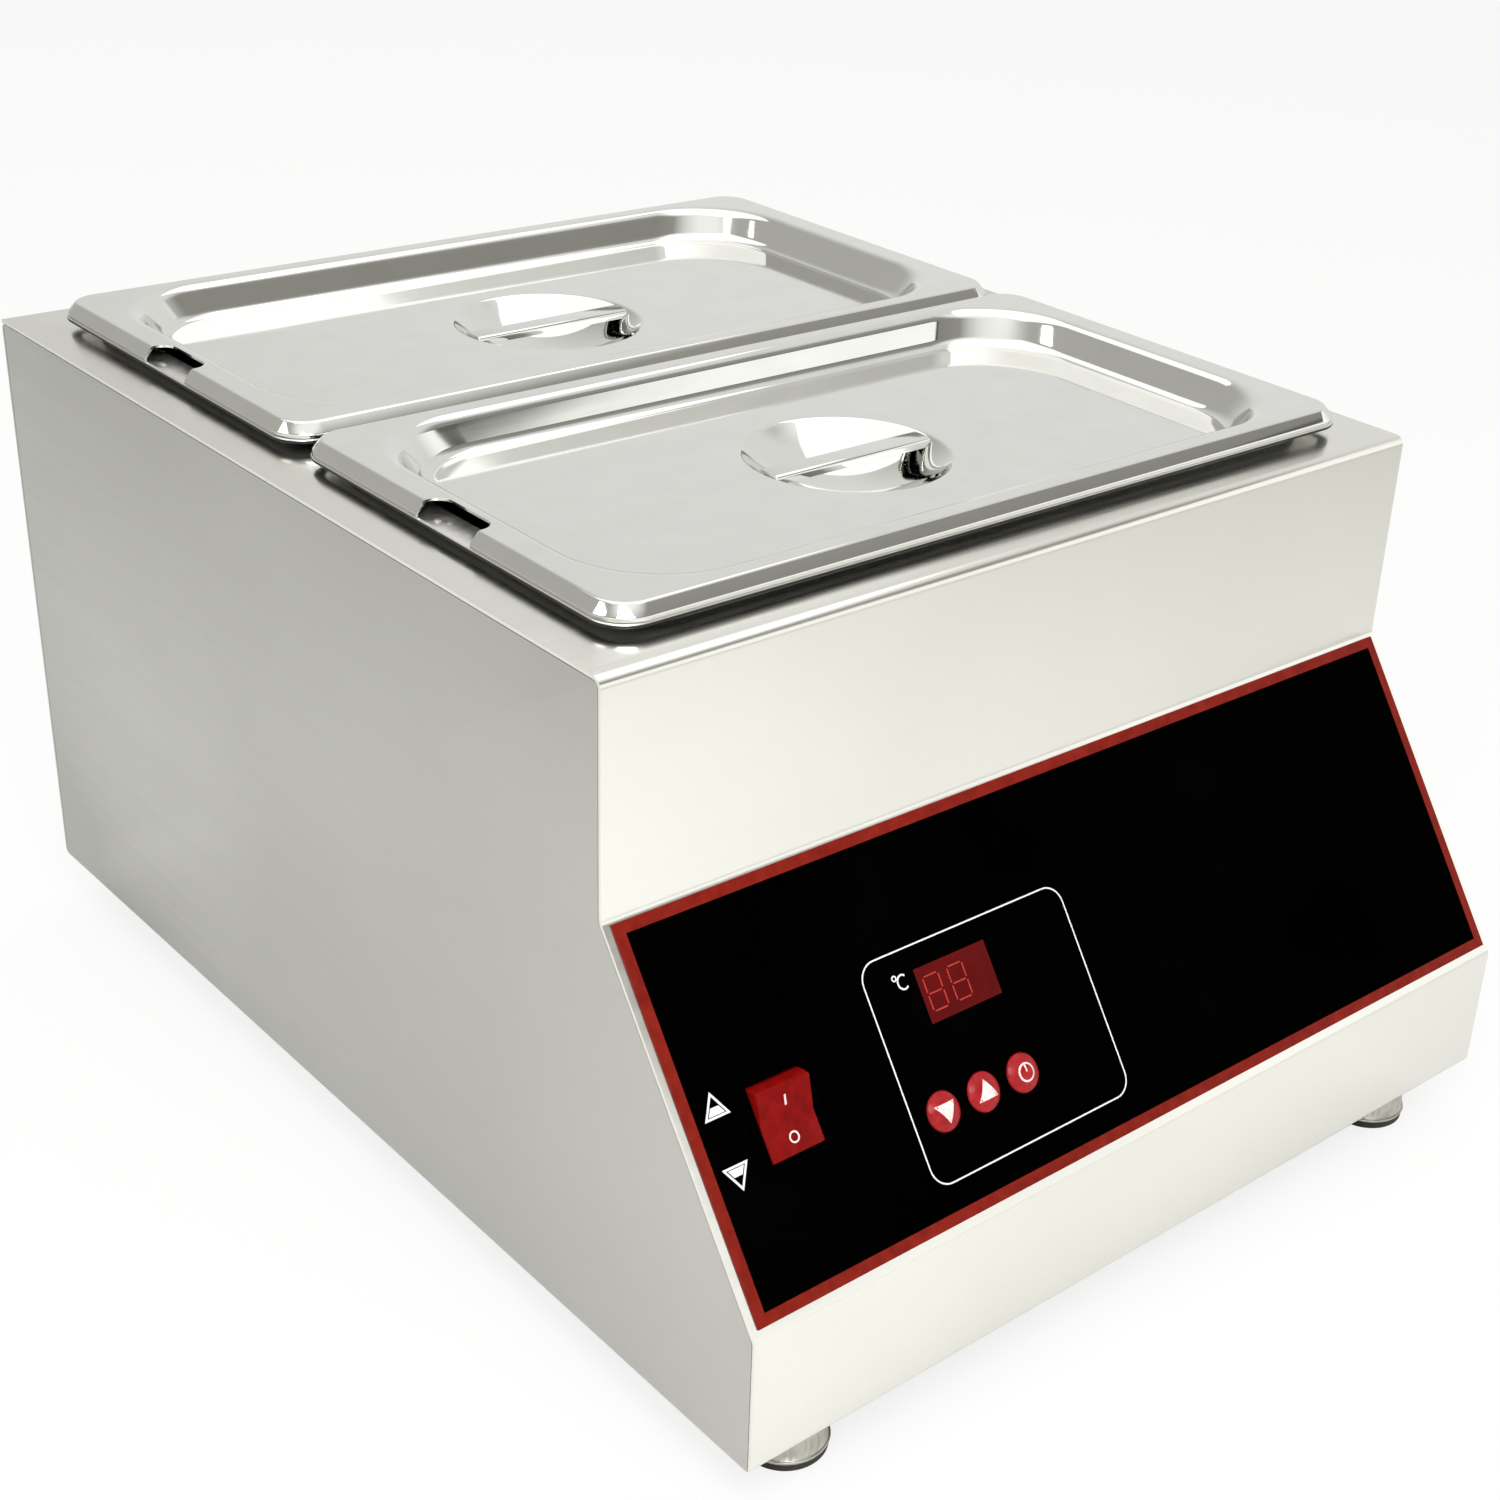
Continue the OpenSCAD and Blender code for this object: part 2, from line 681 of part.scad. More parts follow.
module thermal_cutout() {
    color("#26221e") at_cutout() {
        cylinder(r = cutout_flange_r, h = cutout_flange_t);
        cylinder(r = cutout_r, h = cutout_flange_t + cutout_h);
        for (i = [-1, 1])
            translate([-blade_t / 2, i * cutout_r / 2 - blade_w / 2, cutout_h])
                cube([blade_t, blade_w, blade_l]);
    }
}

// Bracket: a drilled strap over the cut-out's flange, its ends turned up to the tank
module cutout_bracket() {
    color("#b9b8b3") at_cutout() difference() {
        union() {
            translate([-cutout_screw_x - bracket_end, -bracket_w / 2, cutout_flange_t])
                cube([2 * (cutout_screw_x + bracket_end), bracket_w, bracket_t]);
            for (i = [-1, 1])
                translate([i * cutout_screw_x - bracket_end, -bracket_w / 2, 0])
                    cube([2 * bracket_end, bracket_w, cutout_flange_t]);
        }
        translate([0, 0, -overrun]) cylinder(r = cutout_r + fit_gap, h = cutout_h);
        for (i = [-1, 1])
            translate([i * cutout_screw_x, 0, -overrun]) cylinder(r = stud_r + fit_gap, h = cutout_h);
    }
}

// Studs welded to the tank, with their nuts
module cutout_screws() {
    color("silver") at_cutout() for (i = [-1, 1]) translate([i * cutout_screw_x, 0, 0]) {
        cylinder(r = stud_r, h = cutout_flange_t + bracket_t + 2 * stud_r + stud_end);
        translate([0, 0, cutout_flange_t + bracket_t]) cylinder(d = 4 * stud_r, h = 1.6 * stud_r, $fn = 6);
    }
}

// Black plate that fills the slope inside the trim
module control_plate() {
    color("#101010") difference() {
        on_panel() translate([0, 0, panel_t / 2])
            cube([panel_w - 2 * trim_w, panel_h - 2 * trim_w, panel_t], center = true);
        panel_cutouts();
    }
}

// Red trim round the plate
module panel_trim() {
    color("#a32a20") on_panel() linear_extrude(panel_t) difference() {
        square([panel_w, panel_h], center = true);
        square([panel_w - 2 * trim_w, panel_h - 2 * trim_w], center = true);
    }
}

// Dark red lens, flush with the plate
window_t = panel_t + sheet_t;

module display_window() {
    color("#5e0000") at_window() translate([0, 0, panel_t - window_t / 2])
        cube([window_w, window_h, window_t], center = true);
}

// Places behind the slope, as depths from its outer face
board_depth = 13;
board_t = 1.6;
board_l = 84;
board_h = 68;
board_u = 122;
board_v = 77;
board_hole_in = 4.5;
standoff_r = 3;
board_screw_r = 1.4;
board_screw_l = 7;
module_h = board_depth - sheet_t - rest_gap;

module at_board() {
    on_slope() translate([board_u, slope_l - board_v, -board_depth]) children();
}

module board_corners() {
    at_board() for (i = [-1, 1], j = [-1, 1])
        translate([i * (board_l / 2 - board_hole_in), j * (board_h / 2 - board_hole_in), 0]) children();
}

// Seven-segment block behind the lens: a case with a sunk face and two raised digits
digit_w = 8;
digit_h = 13;
digit_pitch = 11;
digit_shift = -4.5;
segment_w = 1.3;
face_depth = 0.8;

module digit(x) {
    translate([x, 0, 0]) {
        for (j = [-1, 0, 1])
            translate([0, j * (digit_h - segment_w) / 2, 0])
                square([digit_w - 3 * segment_w, segment_w], center = true);
        for (i = [-1, 1], j = [-1, 1])
            translate([i * (digit_w - segment_w) / 2, j * digit_h / 4, 0])
                square([segment_w, digit_h / 2 - 2 * segment_w], center = true);
    }
}

module display_module() {
    color("#3a0a08") at_window() translate([0, 0, -board_depth]) {
        linear_extrude(module_h - face_depth)
            square([window_w - 2 * fit_gap, window_h - 2 * fit_gap], center = true);
        linear_extrude(module_h) {
            difference() {
                square([window_w - 2 * fit_gap, window_h - 2 * fit_gap], center = true);
                square([window_w - 2 * segment_w, window_h - 2 * segment_w], center = true);
            }
            for (i = [-1, 1]) digit(digit_shift + i * digit_pitch / 2);
        }
    }
}

// Push button: domed cap, retaining flange behind the sheet, and stem
button_flange_w = 1.2;
button_flange_t = 1;
stem_r = 1.6;
switch_w = 8;
switch_h = 7;
switch_hole = 4;
stem_foot = board_depth - switch_h + switch_hole - button_travel - button_gap;
dome_cap_r = (pow(button_d / 2, 2) + pow(button_rise, 2)) / (2 * button_rise);

module push_button() {
    flange_top = -sheet_t - rest_gap;
    intersection() {
        translate([0, 0, panel_t + button_rise - dome_cap_r]) sphere(r = dome_cap_r, $fn = 2 * $fn);
        translate([0, 0, panel_t]) cylinder(d = button_d, h = 2 * button_rise);
    }
    translate([0, 0, flange_top - button_flange_t])
        cylinder(d = button_d, h = panel_t - flange_top + button_flange_t);
    translate([0, 0, flange_top - button_flange_t])
        cylinder(r = button_d / 2 + button_flange_w, h = button_flange_t);
    translate([0, 0, -stem_foot]) cylinder(r = stem_r, h = stem_foot - sheet_t);
}

module button_down() {
    color("#b3202a") at_button(0) push_button();
}

module button_up() {
    color("#b3202a") at_button(1) push_button();
}

module button_set() {
    color("#b3202a") at_button(2) push_button();
}

// Switches on the board, each with the hole that its button's stem runs in
module push_switches() {
    color("#2b2b2b") for (i = [0:2])
        at_button(i) translate([0, 0, -board_depth]) difference() {
            translate([-switch_w / 2, -switch_w / 2, 0]) cube([switch_w, switch_w, switch_h]);
            translate([0, 0, switch_h - switch_hole]) cylinder(r = stem_r + fit_gap, h = switch_hole + overrun);
        }
}

module control_board() {
    color("#1f5a34") difference() {
        at_board() translate([-board_l / 2, -board_h / 2, -board_t]) cube([board_l, board_h, board_t]);
        board_corners() cylinder(r = board_screw_r + fit_gap, h = 4 * board_t, center = true);
    }
}

// Pillars welded behind the slope
module board_standoffs() {
    color("silver") board_corners() tube(standoff_r, board_screw_r + pivot_gap, board_depth - sheet_t);
}

module board_screws() {
    color("silver") board_corners() translate([0, 0, -board_t]) mirror([0, 0, 1])
        pan_screw(board_screw_r, board_screw_l, 2 * board_screw_r, board_screw_r);
}

// Parts on the back of the board, placed from its middle
transformer_size = [32, 27, 24];
transformer_at = [-20, 12];
relay_size = [19, 16, 15];
relay_at = [18, -14];
terminals_size = [30, 9, 11];
terminals_at = [12, 20];
terminal_way = 5;

module on_back(at, size) {
    at_board() translate([at.x - size.x / 2, at.y - size.y / 2, -board_t - size.z]) children();
}

// Encapsulated transformer: core, bobbin and winding
module transformer() {
    s = transformer_size;
    color("#3c3a36") on_back(transformer_at, s) {
        translate([0, s.y / 4, 0]) cube([s.x, s.y / 2, s.z]);
        translate([s.x / 6, 0, s.z / 6]) cube([s.x * 2 / 3, s.y, s.z * 5 / 6]);
    }
}

module power_relay() {
    color("#1d3f8c") on_back(relay_at, relay_size) cube(relay_size);
}

// Row of screw terminals
module board_terminals() {
    s = terminals_size;
    color("#2f7d3e") on_back(terminals_at, s) difference() {
        cube(s);
        for (x = [terminal_way / 2:terminal_way:s.x - terminal_way / 3])
            translate([x, s.y / 2, -overrun]) cylinder(r = terminal_way / 3, h = s.z / 2);
    }
}

// Rocker housing: bezel on the panel, box behind it, pivot holes in its cheeks
module rocker_housing() {
    color("#141414") at_rocker() difference() {
        union() {
            translate([0, 0, panel_t]) linear_extrude(bezel_t)
                rounded_rect(housing_w + 2 * bezel_w, housing_l + 2 * bezel_w, bezel_w);
            translate([-housing_w / 2, -housing_l / 2, -housing_depth])
                cube([housing_w, housing_l, housing_depth + panel_t + bezel_t]);
        }
        translate([-housing_w / 2 + housing_wall, -housing_l / 2 + housing_wall, -housing_depth + housing_floor])
            cube([housing_w - 2 * housing_wall, housing_l - 2 * housing_wall, 2 * housing_depth]);
        translate([0, 0, -pivot_depth]) rotate([0, 90, 0])
            cylinder(r = pivot_r + pivot_gap, h = 2 * housing_w, center = true);
    }
}

// Rocker in its middle position about the pivot, as [up the slope, outwards]
rocker_r = rocker_l / 2;
rocker_crest = 4;
rocker_end_a = rocker_swing / 2 + asin(rocker_crest * cos(rocker_swing / 2) / rocker_r);
rocker_foot_a = -30;

module rocker() {
    color("#c01818") at_rocker() translate([0, 0, -pivot_depth]) rotate([rocker_swing / 2, 0, 0]) {
        translate([-rocker_w / 2, 0, 0]) rotate([90, 0, 90]) linear_extrude(rocker_w)
            polygon(concat(
                arc([0, 0], rocker_r, rocker_foot_a, rocker_end_a),
                [[0, rocker_crest]],
                arc([0, 0], rocker_r, 180 - rocker_end_a, 180 - rocker_foot_a)
            ));
        rotate([0, 90, 0])
            cylinder(r = pivot_r, h = rocker_w + 2 * (rocker_side_gap + housing_wall - fit_gap), center = true);
    }
}

// Blade terminals under the rocker housing
module rocker_blades() {
    color("#c9a24a") at_rocker() for (i = [-1, 1], j = [-1, 1])
        translate([i * housing_w / 4 - blade_t / 2, j * housing_l / 4 - blade_w / 2, -housing_depth - blade_l])
            cube([blade_t, blade_w, blade_l]);
}

// Mains terminal block on the base plate: three ways, each with a cable hole and two screws
block_side_in = 82.8;
block_x = case_w / 2 - block_side_in;
block_in = 85;
block_y = rear_y - block_in;
block_way = 14;
block_w = 22;
block_h = 18;
block_hole_r = 3;
block_screw_r = 2;
block_ways = 3;
inner_floor_z = foot_h + sheet_t;

module at_block_ways() {
    for (i = [0:block_ways - 1])
        translate([block_x + (i - 1) * block_way, block_y, inner_floor_z]) children();
}

module mains_terminal_block() {
    color("#e8e6dc") difference() {
        translate([block_x - 1.5 * block_way, block_y - block_w / 2, inner_floor_z])
            cube([3 * block_way, block_w, block_h]);
        at_block_ways() {
            translate([0, 0, block_h / 2]) rotate([90, 0, 0])
                cylinder(r = block_hole_r, h = 2 * block_w, center = true);
            for (j = [-1, 1])
                translate([0, j * block_w / 4, block_h / 2]) cylinder(r = block_screw_r + fit_gap, h = block_h);
        }
    }
}

module terminal_screws() {
    color("silver") at_block_ways() for (j = [-1, 1])
        translate([0, j * block_w / 4, block_h / 2 + block_hole_r / 2])
            cylinder(r = block_screw_r, h = block_h / 2 - block_hole_r);
}

// Earth stud welded to the base plate, with two nuts
earth_side_in = 65;
earth_x = block_x - earth_side_in;
earth_r = 2.5;
earth_h = 18;
earth_nut_h = 4;
earth_nut_gap = 1;

module at_earth() {
    translate([earth_x, block_y, inner_floor_z]) children();
}

module earth_stud() {
    color("#c9a24a") at_earth() union() {
        cylinder(r = 2 * earth_r, h = sheet_t);
        cylinder(r = earth_r, h = earth_h);
    }
}

module earth_nuts() {
    color("silver") at_earth() for (i = [0, 1])
        translate([0, 0, sheet_t + i * (earth_nut_h + earth_nut_gap)])
            hex_nut(3.2 * earth_r, earth_r + pivot_gap, earth_nut_h);
}

// Gland low in the back, its axis along +Y
gland_side_in = 59.8;
gland_x = case_w / 2 - gland_side_in;
gland_rise = 38;
gland_z = foot_h + gland_rise;
gland_wall = 5;
gland_thread_r = lead_d / 2 + gland_wall;
gland_shoulder = 3;
gland_flats = 2 * (gland_thread_r + gland_shoulder);
gland_hex_h = 5;
gland_shank_l = 11;
gland_collar_h = 7;
gland_collar_in = 0.6;
gland_collar_r = gland_thread_r - gland_collar_in;
gland_collar_wall = 2;
gland_seal_r = gland_collar_r - gland_collar_wall;
gland_lead_gap = 0.1;
locknut_h = 4;
dome_h = gland_out - gland_hex_h - rest_gap;
dome_wall = 1.8;

module at_gland() {
    translate([gland_x, rear_y, gland_z]) rotate([-90, 0, 0]) children();
}

module gland_body() {
    color("#1b1b1b") at_gland() difference() {
        union() {
            cylinder(d = gland_flats / cos(30), h = gland_hex_h, $fn = 6);
            translate([0, 0, -gland_shank_l]) cylinder(r = gland_thread_r, h = gland_shank_l);
            cylinder(r = gland_collar_r, h = gland_hex_h + gland_collar_h);
        }
        translate([0, 0, -gland_shank_l - overrun])
            cylinder(r = lead_d / 2 + 4 * gland_lead_gap, h = 2 * gland_shank_l + gland_hex_h);
        translate([0, 0, gland_hex_h]) cylinder(r = gland_seal_r + fit_gap, h = gland_collar_h + overrun);
    }
}

module gland_seal() {
    color("#2e2e2e") at_gland() translate([0, 0, gland_hex_h])
        tube(gland_seal_r, lead_d / 2 + gland_lead_gap, gland_collar_h);
}

// Domed nut: hexagon below, rounded nose above, hollow over the collar
module gland_dome_nut() {
    nose_r = gland_flats / 2;
    color("#1b1b1b") at_gland() translate([0, 0, gland_hex_h + rest_gap]) difference() {
        union() {
            cylinder(d = gland_flats / cos(30), h = dome_h / 2, $fn = 6);
            rotate_extrude() intersection() {
                translate([0, dome_h - nose_r]) circle(r = nose_r);
                square([nose_r, dome_h]);
            }
            cylinder(r = lead_d / 2 + dome_wall, h = dome_h);
        }
        translate([0, 0, -overrun]) cylinder(r = gland_collar_r + fit_gap, h = gland_collar_h + rest_gap + overrun);
        cylinder(r = lead_d / 2 + dome_wall / 2, h = 2 * dome_h);
    }
}

module gland_locknut() {
    color("#1b1b1b") at_gland() translate([0, 0, -sheet_t - locknut_h])
        hex_nut(gland_flats, gland_thread_r + pivot_gap, locknut_h);
}

// Feet: a steel cup on a rubber pad, held by a screw from below
foot_rim_lip = 0.5;
foot_rim_h = 1.2;
foot_taper = 1.4;
foot_shoulder_r = 3;
foot_wall = 1.2;
foot_screw_r = 4;
foot_screw_head_r = 7;
foot_nut_h = 6;
foot_screw_end = 1;
foot_cup_r = foot_pad_d / 2;
foot_pad_core_r = foot_cup_r - foot_wall - seam;
foot_pad_core_h = 4;
foot_pad_edge = 0.8;
foot_hole_r = foot_screw_r + fit_gap;

// Cup: rolled rim, leaning wall, rounded shoulder, hollow below for the pad
module foot_cup(i, j) {
    top_r = foot_cup_r - foot_taper;
    color("#b9b8b0") at_foot(i, j) rotate_extrude() difference() {
        union() {
            translate([0, foot_pad_show]) square([foot_cup_r, foot_rim_h]);
            translate([foot_cup_r + foot_rim_lip - foot_rim_h / 2, foot_pad_show + foot_rim_h / 2])
                circle(d = foot_rim_h);
            polygon(concat(
                [[0, foot_pad_show], [foot_cup_r, foot_pad_show]],
                arc([top_r - foot_shoulder_r, foot_h - foot_shoulder_r], foot_shoulder_r, 0, 90),
                [[0, foot_h]]
            ));
        }
        square([foot_pad_core_r + seam, foot_pad_show + foot_pad_core_h]);
        square([foot_hole_r, foot_h + overrun]);
    }
}

// Pad: a tyre-edged disc with a core that sits in the cup, sunk for the screw's head
module foot_pad(i, j) {
    color("#151515") at_foot(i, j) rotate_extrude() difference() {
        union() {
            polygon(concat(
                [[0, 0]],
                arc([foot_cup_r - foot_pad_edge, foot_pad_edge], foot_pad_edge, -90, 0),
                [[foot_cup_r, foot_pad_show - rest_gap], [0, foot_pad_show - rest_gap]]
            ));
            square([foot_pad_core_r, foot_pad_show + foot_pad_core_h - rest_gap]);
        }
        square([foot_hole_r, foot_h]);
        translate([0, -overrun])
            square([foot_screw_head_r + seam, overrun + foot_pad_show - foot_pad_edge]);
    }
}

module foot_cup_front_left() { foot_cup(-1, -1); }
module foot_cup_front_right() { foot_cup(1, -1); }
module foot_cup_rear_left() { foot_cup(-1, 1); }
module foot_cup_rear_right() { foot_cup(1, 1); }
module foot_pad_front_left() { foot_pad(-1, -1); }
module foot_pad_front_right() { foot_pad(1, -1); }
module foot_pad_rear_left() { foot_pad(-1, 1); }
module foot_pad_rear_right() { foot_pad(1, 1); }

// Flat-headed screws, sunk in the pads
module foot_screws() {
    head_top = foot_pad_show - foot_pad_edge - rest_gap;
    color("silver") foot_places() {
        translate([0, 0, head_top - foot_pad_edge]) cylinder(r = foot_screw_head_r, h = foot_pad_edge);
        translate([0, 0, head_top - foot_pad_edge])
            cylinder(r = foot_screw_r, h = inner_floor_z + foot_nut_h + foot_screw_end - head_top);
    }
}

module foot_nuts() {
    color("silver") foot_places() translate([0, 0, inner_floor_z])
        hex_nut(3.25 * foot_screw_r, foot_screw_r + pivot_gap, foot_nut_h);
}

// Lift-out pan: rolled rim, flat rim, drafted wall and floor, its rim top at rim_top_z
module pan() {
    flat_x = pan_l - 2 * rim_roll_r;
    flat_y = pan_w - 2 * rim_roll_r;
    mouth_x = pan_l - 2 * rim_w;
    mouth_y = pan_w - 2 * rim_w;
    translate([0, 0, rim_top_z]) union() {
        swept_rect(pan_l, pan_w, rim_corner_r)
            translate([rim_corner_r - rim_roll_r, -rim_roll_r]) circle(r = rim_roll_r);
        flat_ring(flat_x, flat_y, rim_corner_r - rim_roll_r, mouth_x, mouth_y, mouth_corner_r, pan_wall);
        pressing(mouth_x, mouth_y, mouth_corner_r, pan_depth - pan_wall,
            mouth_bend_r, pan_floor_r, pan_draft, pan_wall);
    }
}

module pan_front() {
    color("#d5d4cf") translate([0, pan_front_y, 0]) pan();
}

module pan_rear() {
    color("#d5d4cf") translate([0, pan_rear_y, 0]) pan();
}

// Profile of the lid's lip as [distance from the corner's axis, height below the border]
function lip_profile() =
    let (c = [lip_corner_r - lip_bend_r, -lip_bend_r])
    concat(
        [[lip_corner_r, -lip_h]], arc(c, lip_bend_r, 0, 90),
        [[c.x - flat_tail, 0], [c.x - flat_tail, -lid_wall]],
        arc(c, lip_bend_r - lid_wall, 90, 0), [[lip_corner_r - lid_wall, -lip_h]]
    );

// The dish: a bowl of radius dish_ball_r led into by a rim bend, its profile as [radius, height]
dish_r = dish_d / 2;
dish_rim_r = 3;
dish_ball_r = (dish_r * dish_r + dish_depth * dish_depth) / (2 * dish_depth) - dish_rim_r;
dish_ball_z = dish_ball_r - dish_depth;
dish_steps = 14;

function dish_profile() =
    let (a = atan2(dish_ball_z + dish_rim_r, -dish_r))
    concat(
        [[dish_r + flat_tail, -lid_wall], [dish_r + flat_tail, 0]],
        arc([dish_r, -dish_rim_r], dish_rim_r, 90, a),
        arc([0, dish_ball_z], dish_ball_r, a - 180, -90, dish_steps),
        arc([0, dish_ball_z], dish_ball_r + lid_wall, -90, a - 180, dish_steps),
        arc([dish_r, -dish_rim_r], dish_rim_r - lid_wall, a, 90)
    );

// Lid: rolled lip, flat border, pressed recess and finger dish, notched for the ladle
module lid() {
    border_x = pan_l - 2 * lip_bend_r;
    border_y = pan_w - 2 * lip_bend_r;
    recess_x = pan_l - 2 * border_short_w;
    recess_y = pan_w - 2 * border_long_w;
    run = wall_run(recess_depth, recess_bend_r, recess_bend_r, recess_lean);
    translate([0, 0, lid_top_z]) difference() {
        union() {
            swept_rect(pan_l, pan_w, lip_corner_r) polygon(lip_profile());
            flat_ring(border_x, border_y, lip_corner_r - lip_bend_r,
                recess_x, recess_y, recess_corner_r, lid_wall);
            swept_rect(recess_x, recess_y, recess_corner_r)
                polygon(pressed_wall(recess_corner_r, recess_depth,
                    recess_bend_r, recess_bend_r, recess_lean, lid_wall));
            translate([0, 0, -recess_depth - lid_wall]) linear_extrude(lid_wall) difference() {
                rounded_rect(recess_x - 2 * run, recess_y - 2 * run, recess_corner_r - run);
                circle(r = dish_r);
            }
            translate([0, 0, -recess_depth]) rotate_extrude() polygon(dish_profile());
        }
        translate([-pan_l / 2, 0, -2 * lip_h]) linear_extrude(3 * lip_h)
            rounded_rect(2 * notch_d, notch_w, notch_r);
    }
}

module lid_front() {
    color("#dedcd6") translate([0, pan_front_y, 0]) lid();
}

module lid_rear() {
    color("#dedcd6") translate([0, pan_rear_y, 0]) lid();
}

// Bridge handle: a channel folded from strip, trimmed to the dish that its ends are welded to
module lid_handle() {
    bridge_lip_r = bridge_wall + fit_gap;
    translate([0, 0, lid_floor_z]) intersection() {
        translate([-dish_r, 0, 0]) rotate([90, 0, 90]) linear_extrude(2 * dish_r) difference() {
            union() {
                translate([-bridge_w / 2, -bridge_lip_h]) square([bridge_w, bridge_lip_h - bridge_lip_r]);
                translate([-bridge_w / 2 + bridge_lip_r, -bridge_lip_h])
                    square([bridge_w - 2 * bridge_lip_r, bridge_lip_h]);
                for (i = [-1, 1])
                    translate([i * (bridge_w / 2 - bridge_lip_r), -bridge_lip_r]) circle(r = bridge_lip_r);
            }
            translate([-bridge_w / 2 + bridge_wall, -bridge_lip_h - overrun])
                square([bridge_w - 2 * bridge_wall, bridge_lip_h + overrun - bridge_wall]);
        }
        translate([0, 0, dish_ball_z]) sphere(r = dish_ball_r - rest_gap / 2, $fn = 2 * $fn);
        cylinder(r = dish_r - dish_rim_r, h = 2 * bridge_lip_h, center = true);
    }
}

module lid_handle_front() {
    color("#e2e0da") translate([0, pan_front_y, 0]) lid_handle();
}

module lid_handle_rear() {
    color("#e2e0da") translate([0, pan_rear_y, 0]) lid_handle();
}

top_front_cover();
side_panel_left();
side_panel_right();
rear_panel();
base_plate();
casing_screws();
base_screws();
water_tank();
heating_element();
element_gaskets();
element_nuts();
heater_support();
temperature_probe();
probe_nut();
thermal_cutout();
cutout_bracket();
cutout_screws();
control_plate();
panel_trim();
display_window();
display_module();
button_down();
button_up();
button_set();
push_switches();
control_board();
board_standoffs();
board_screws();
transformer();
power_relay();
board_terminals();
rocker_housing();
rocker();
rocker_blades();
mains_terminal_block();
terminal_screws();
earth_stud();
earth_nuts();
gland_body();
gland_seal();
gland_dome_nut();
gland_locknut();
foot_cup_front_left();
foot_cup_front_right();
foot_cup_rear_left();
foot_cup_rear_right();
foot_pad_front_left();
foot_pad_front_right();
foot_pad_rear_left();
foot_pad_rear_right();
foot_screws();
foot_nuts();
pan_front();
pan_rear();
lid_front();
lid_rear();
lid_handle_front();
lid_handle_rear();
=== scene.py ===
"""Electric chocolate melting pot: a folded steel casing, a water bath and two lidded pans."""
import math

import bmesh
import bpy
from mathutils import Matrix, Vector


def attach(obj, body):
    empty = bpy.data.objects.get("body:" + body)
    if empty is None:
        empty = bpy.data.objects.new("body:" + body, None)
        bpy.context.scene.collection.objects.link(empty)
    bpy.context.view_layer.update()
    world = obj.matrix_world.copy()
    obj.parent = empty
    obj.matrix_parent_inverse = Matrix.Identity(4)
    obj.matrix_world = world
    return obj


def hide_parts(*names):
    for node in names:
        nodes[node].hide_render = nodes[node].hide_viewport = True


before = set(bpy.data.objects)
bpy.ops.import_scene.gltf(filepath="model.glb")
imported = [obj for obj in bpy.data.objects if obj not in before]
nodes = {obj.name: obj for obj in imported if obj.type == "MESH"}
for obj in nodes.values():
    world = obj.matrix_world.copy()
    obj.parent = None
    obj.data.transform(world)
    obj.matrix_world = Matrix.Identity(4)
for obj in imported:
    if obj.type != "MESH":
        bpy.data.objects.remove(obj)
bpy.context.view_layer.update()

# Studio: the camera stands at the front left, above the lids, as in the photo.
# A pale table stands in a white room with broad soft lamps. To light and reflections the room is shaded by
# direction, so that polished steel shows pale and grey bands like those in the photo.
CAMERA_AT = Vector((-0.5134, -0.6350, 0.5268))
CAMERA_TURN = math.radians(42.767)
CAMERA_DROP = math.radians(27.792)
CAMERA_ROLL = math.radians(3.31)
SENSOR_W = 36
LENS = 56.23
LENS_SHIFT_X = -0.0745
LENS_SHIFT_Y = 0.0215
NEAREST = 0.02
forward = Vector((
    math.sin(CAMERA_TURN) * math.cos(CAMERA_DROP),
    math.cos(CAMERA_TURN) * math.cos(CAMERA_DROP),
    -math.sin(CAMERA_DROP),
))
level = Vector((math.cos(CAMERA_TURN), -math.sin(CAMERA_TURN), 0))
upright = level.cross(forward)
across = math.cos(CAMERA_ROLL) * level + math.sin(CAMERA_ROLL) * upright
above = -math.sin(CAMERA_ROLL) * level + math.cos(CAMERA_ROLL) * upright
camera_data = bpy.data.cameras.new("camera")
camera_data.sensor_width = SENSOR_W
camera_data.lens = LENS
camera_data.shift_x = LENS_SHIFT_X
camera_data.shift_y = LENS_SHIFT_Y
camera_data.clip_start = NEAREST
camera = bpy.data.objects.new("camera", camera_data)
bpy.context.collection.objects.link(camera)
turned = Matrix((across, above, -forward)).transposed().to_4x4()
camera.matrix_world = Matrix.Translation(CAMERA_AT) @ turned
bpy.context.scene.camera = camera
bpy.context.scene.view_settings.view_transform = "Standard"


def soft_lamp(name, place, aim, width, height, power):
    """Adds an area lamp that faces the aim."""
    light = bpy.data.lights.new(name, "AREA")
    light.shape = "RECTANGLE"
    light.size = width
    light.size_y = height
    light.energy = power
    lamp = bpy.data.objects.new(name, light)
    bpy.context.collection.objects.link(lamp)
    lamp.location = place
    lamp.rotation_euler = (Vector(aim) - Vector(place)).to_track_quat("-Z", "Y").to_euler()
    return lamp


soft_lamp("lamp_top", place=(0.1, 0.4, 2.0), aim=(0, 0.1, 0.1), width=2.2, height=2.0, power=12)
soft_lamp("lamp_front", place=(-0.55, -0.80, 1.05), aim=(-0.05, -0.50, 0), width=0.7, height=0.5, power=11)
soft_lamp("lamp_left", place=(-1.8, 0.5, 1.6), aim=(-0.5, 0.2, 0), width=1.0, height=0.8, power=7)


def node(tree, kind, **values):
    """Adds a shader node and sets its properties."""
    made = tree.nodes.new("ShaderNode" + kind)
    for key, value in values.items():
        setattr(made, key, value)
    return made


def joined(tree, start, end):
    """Links an output to an input."""
    tree.links.new(start, end)


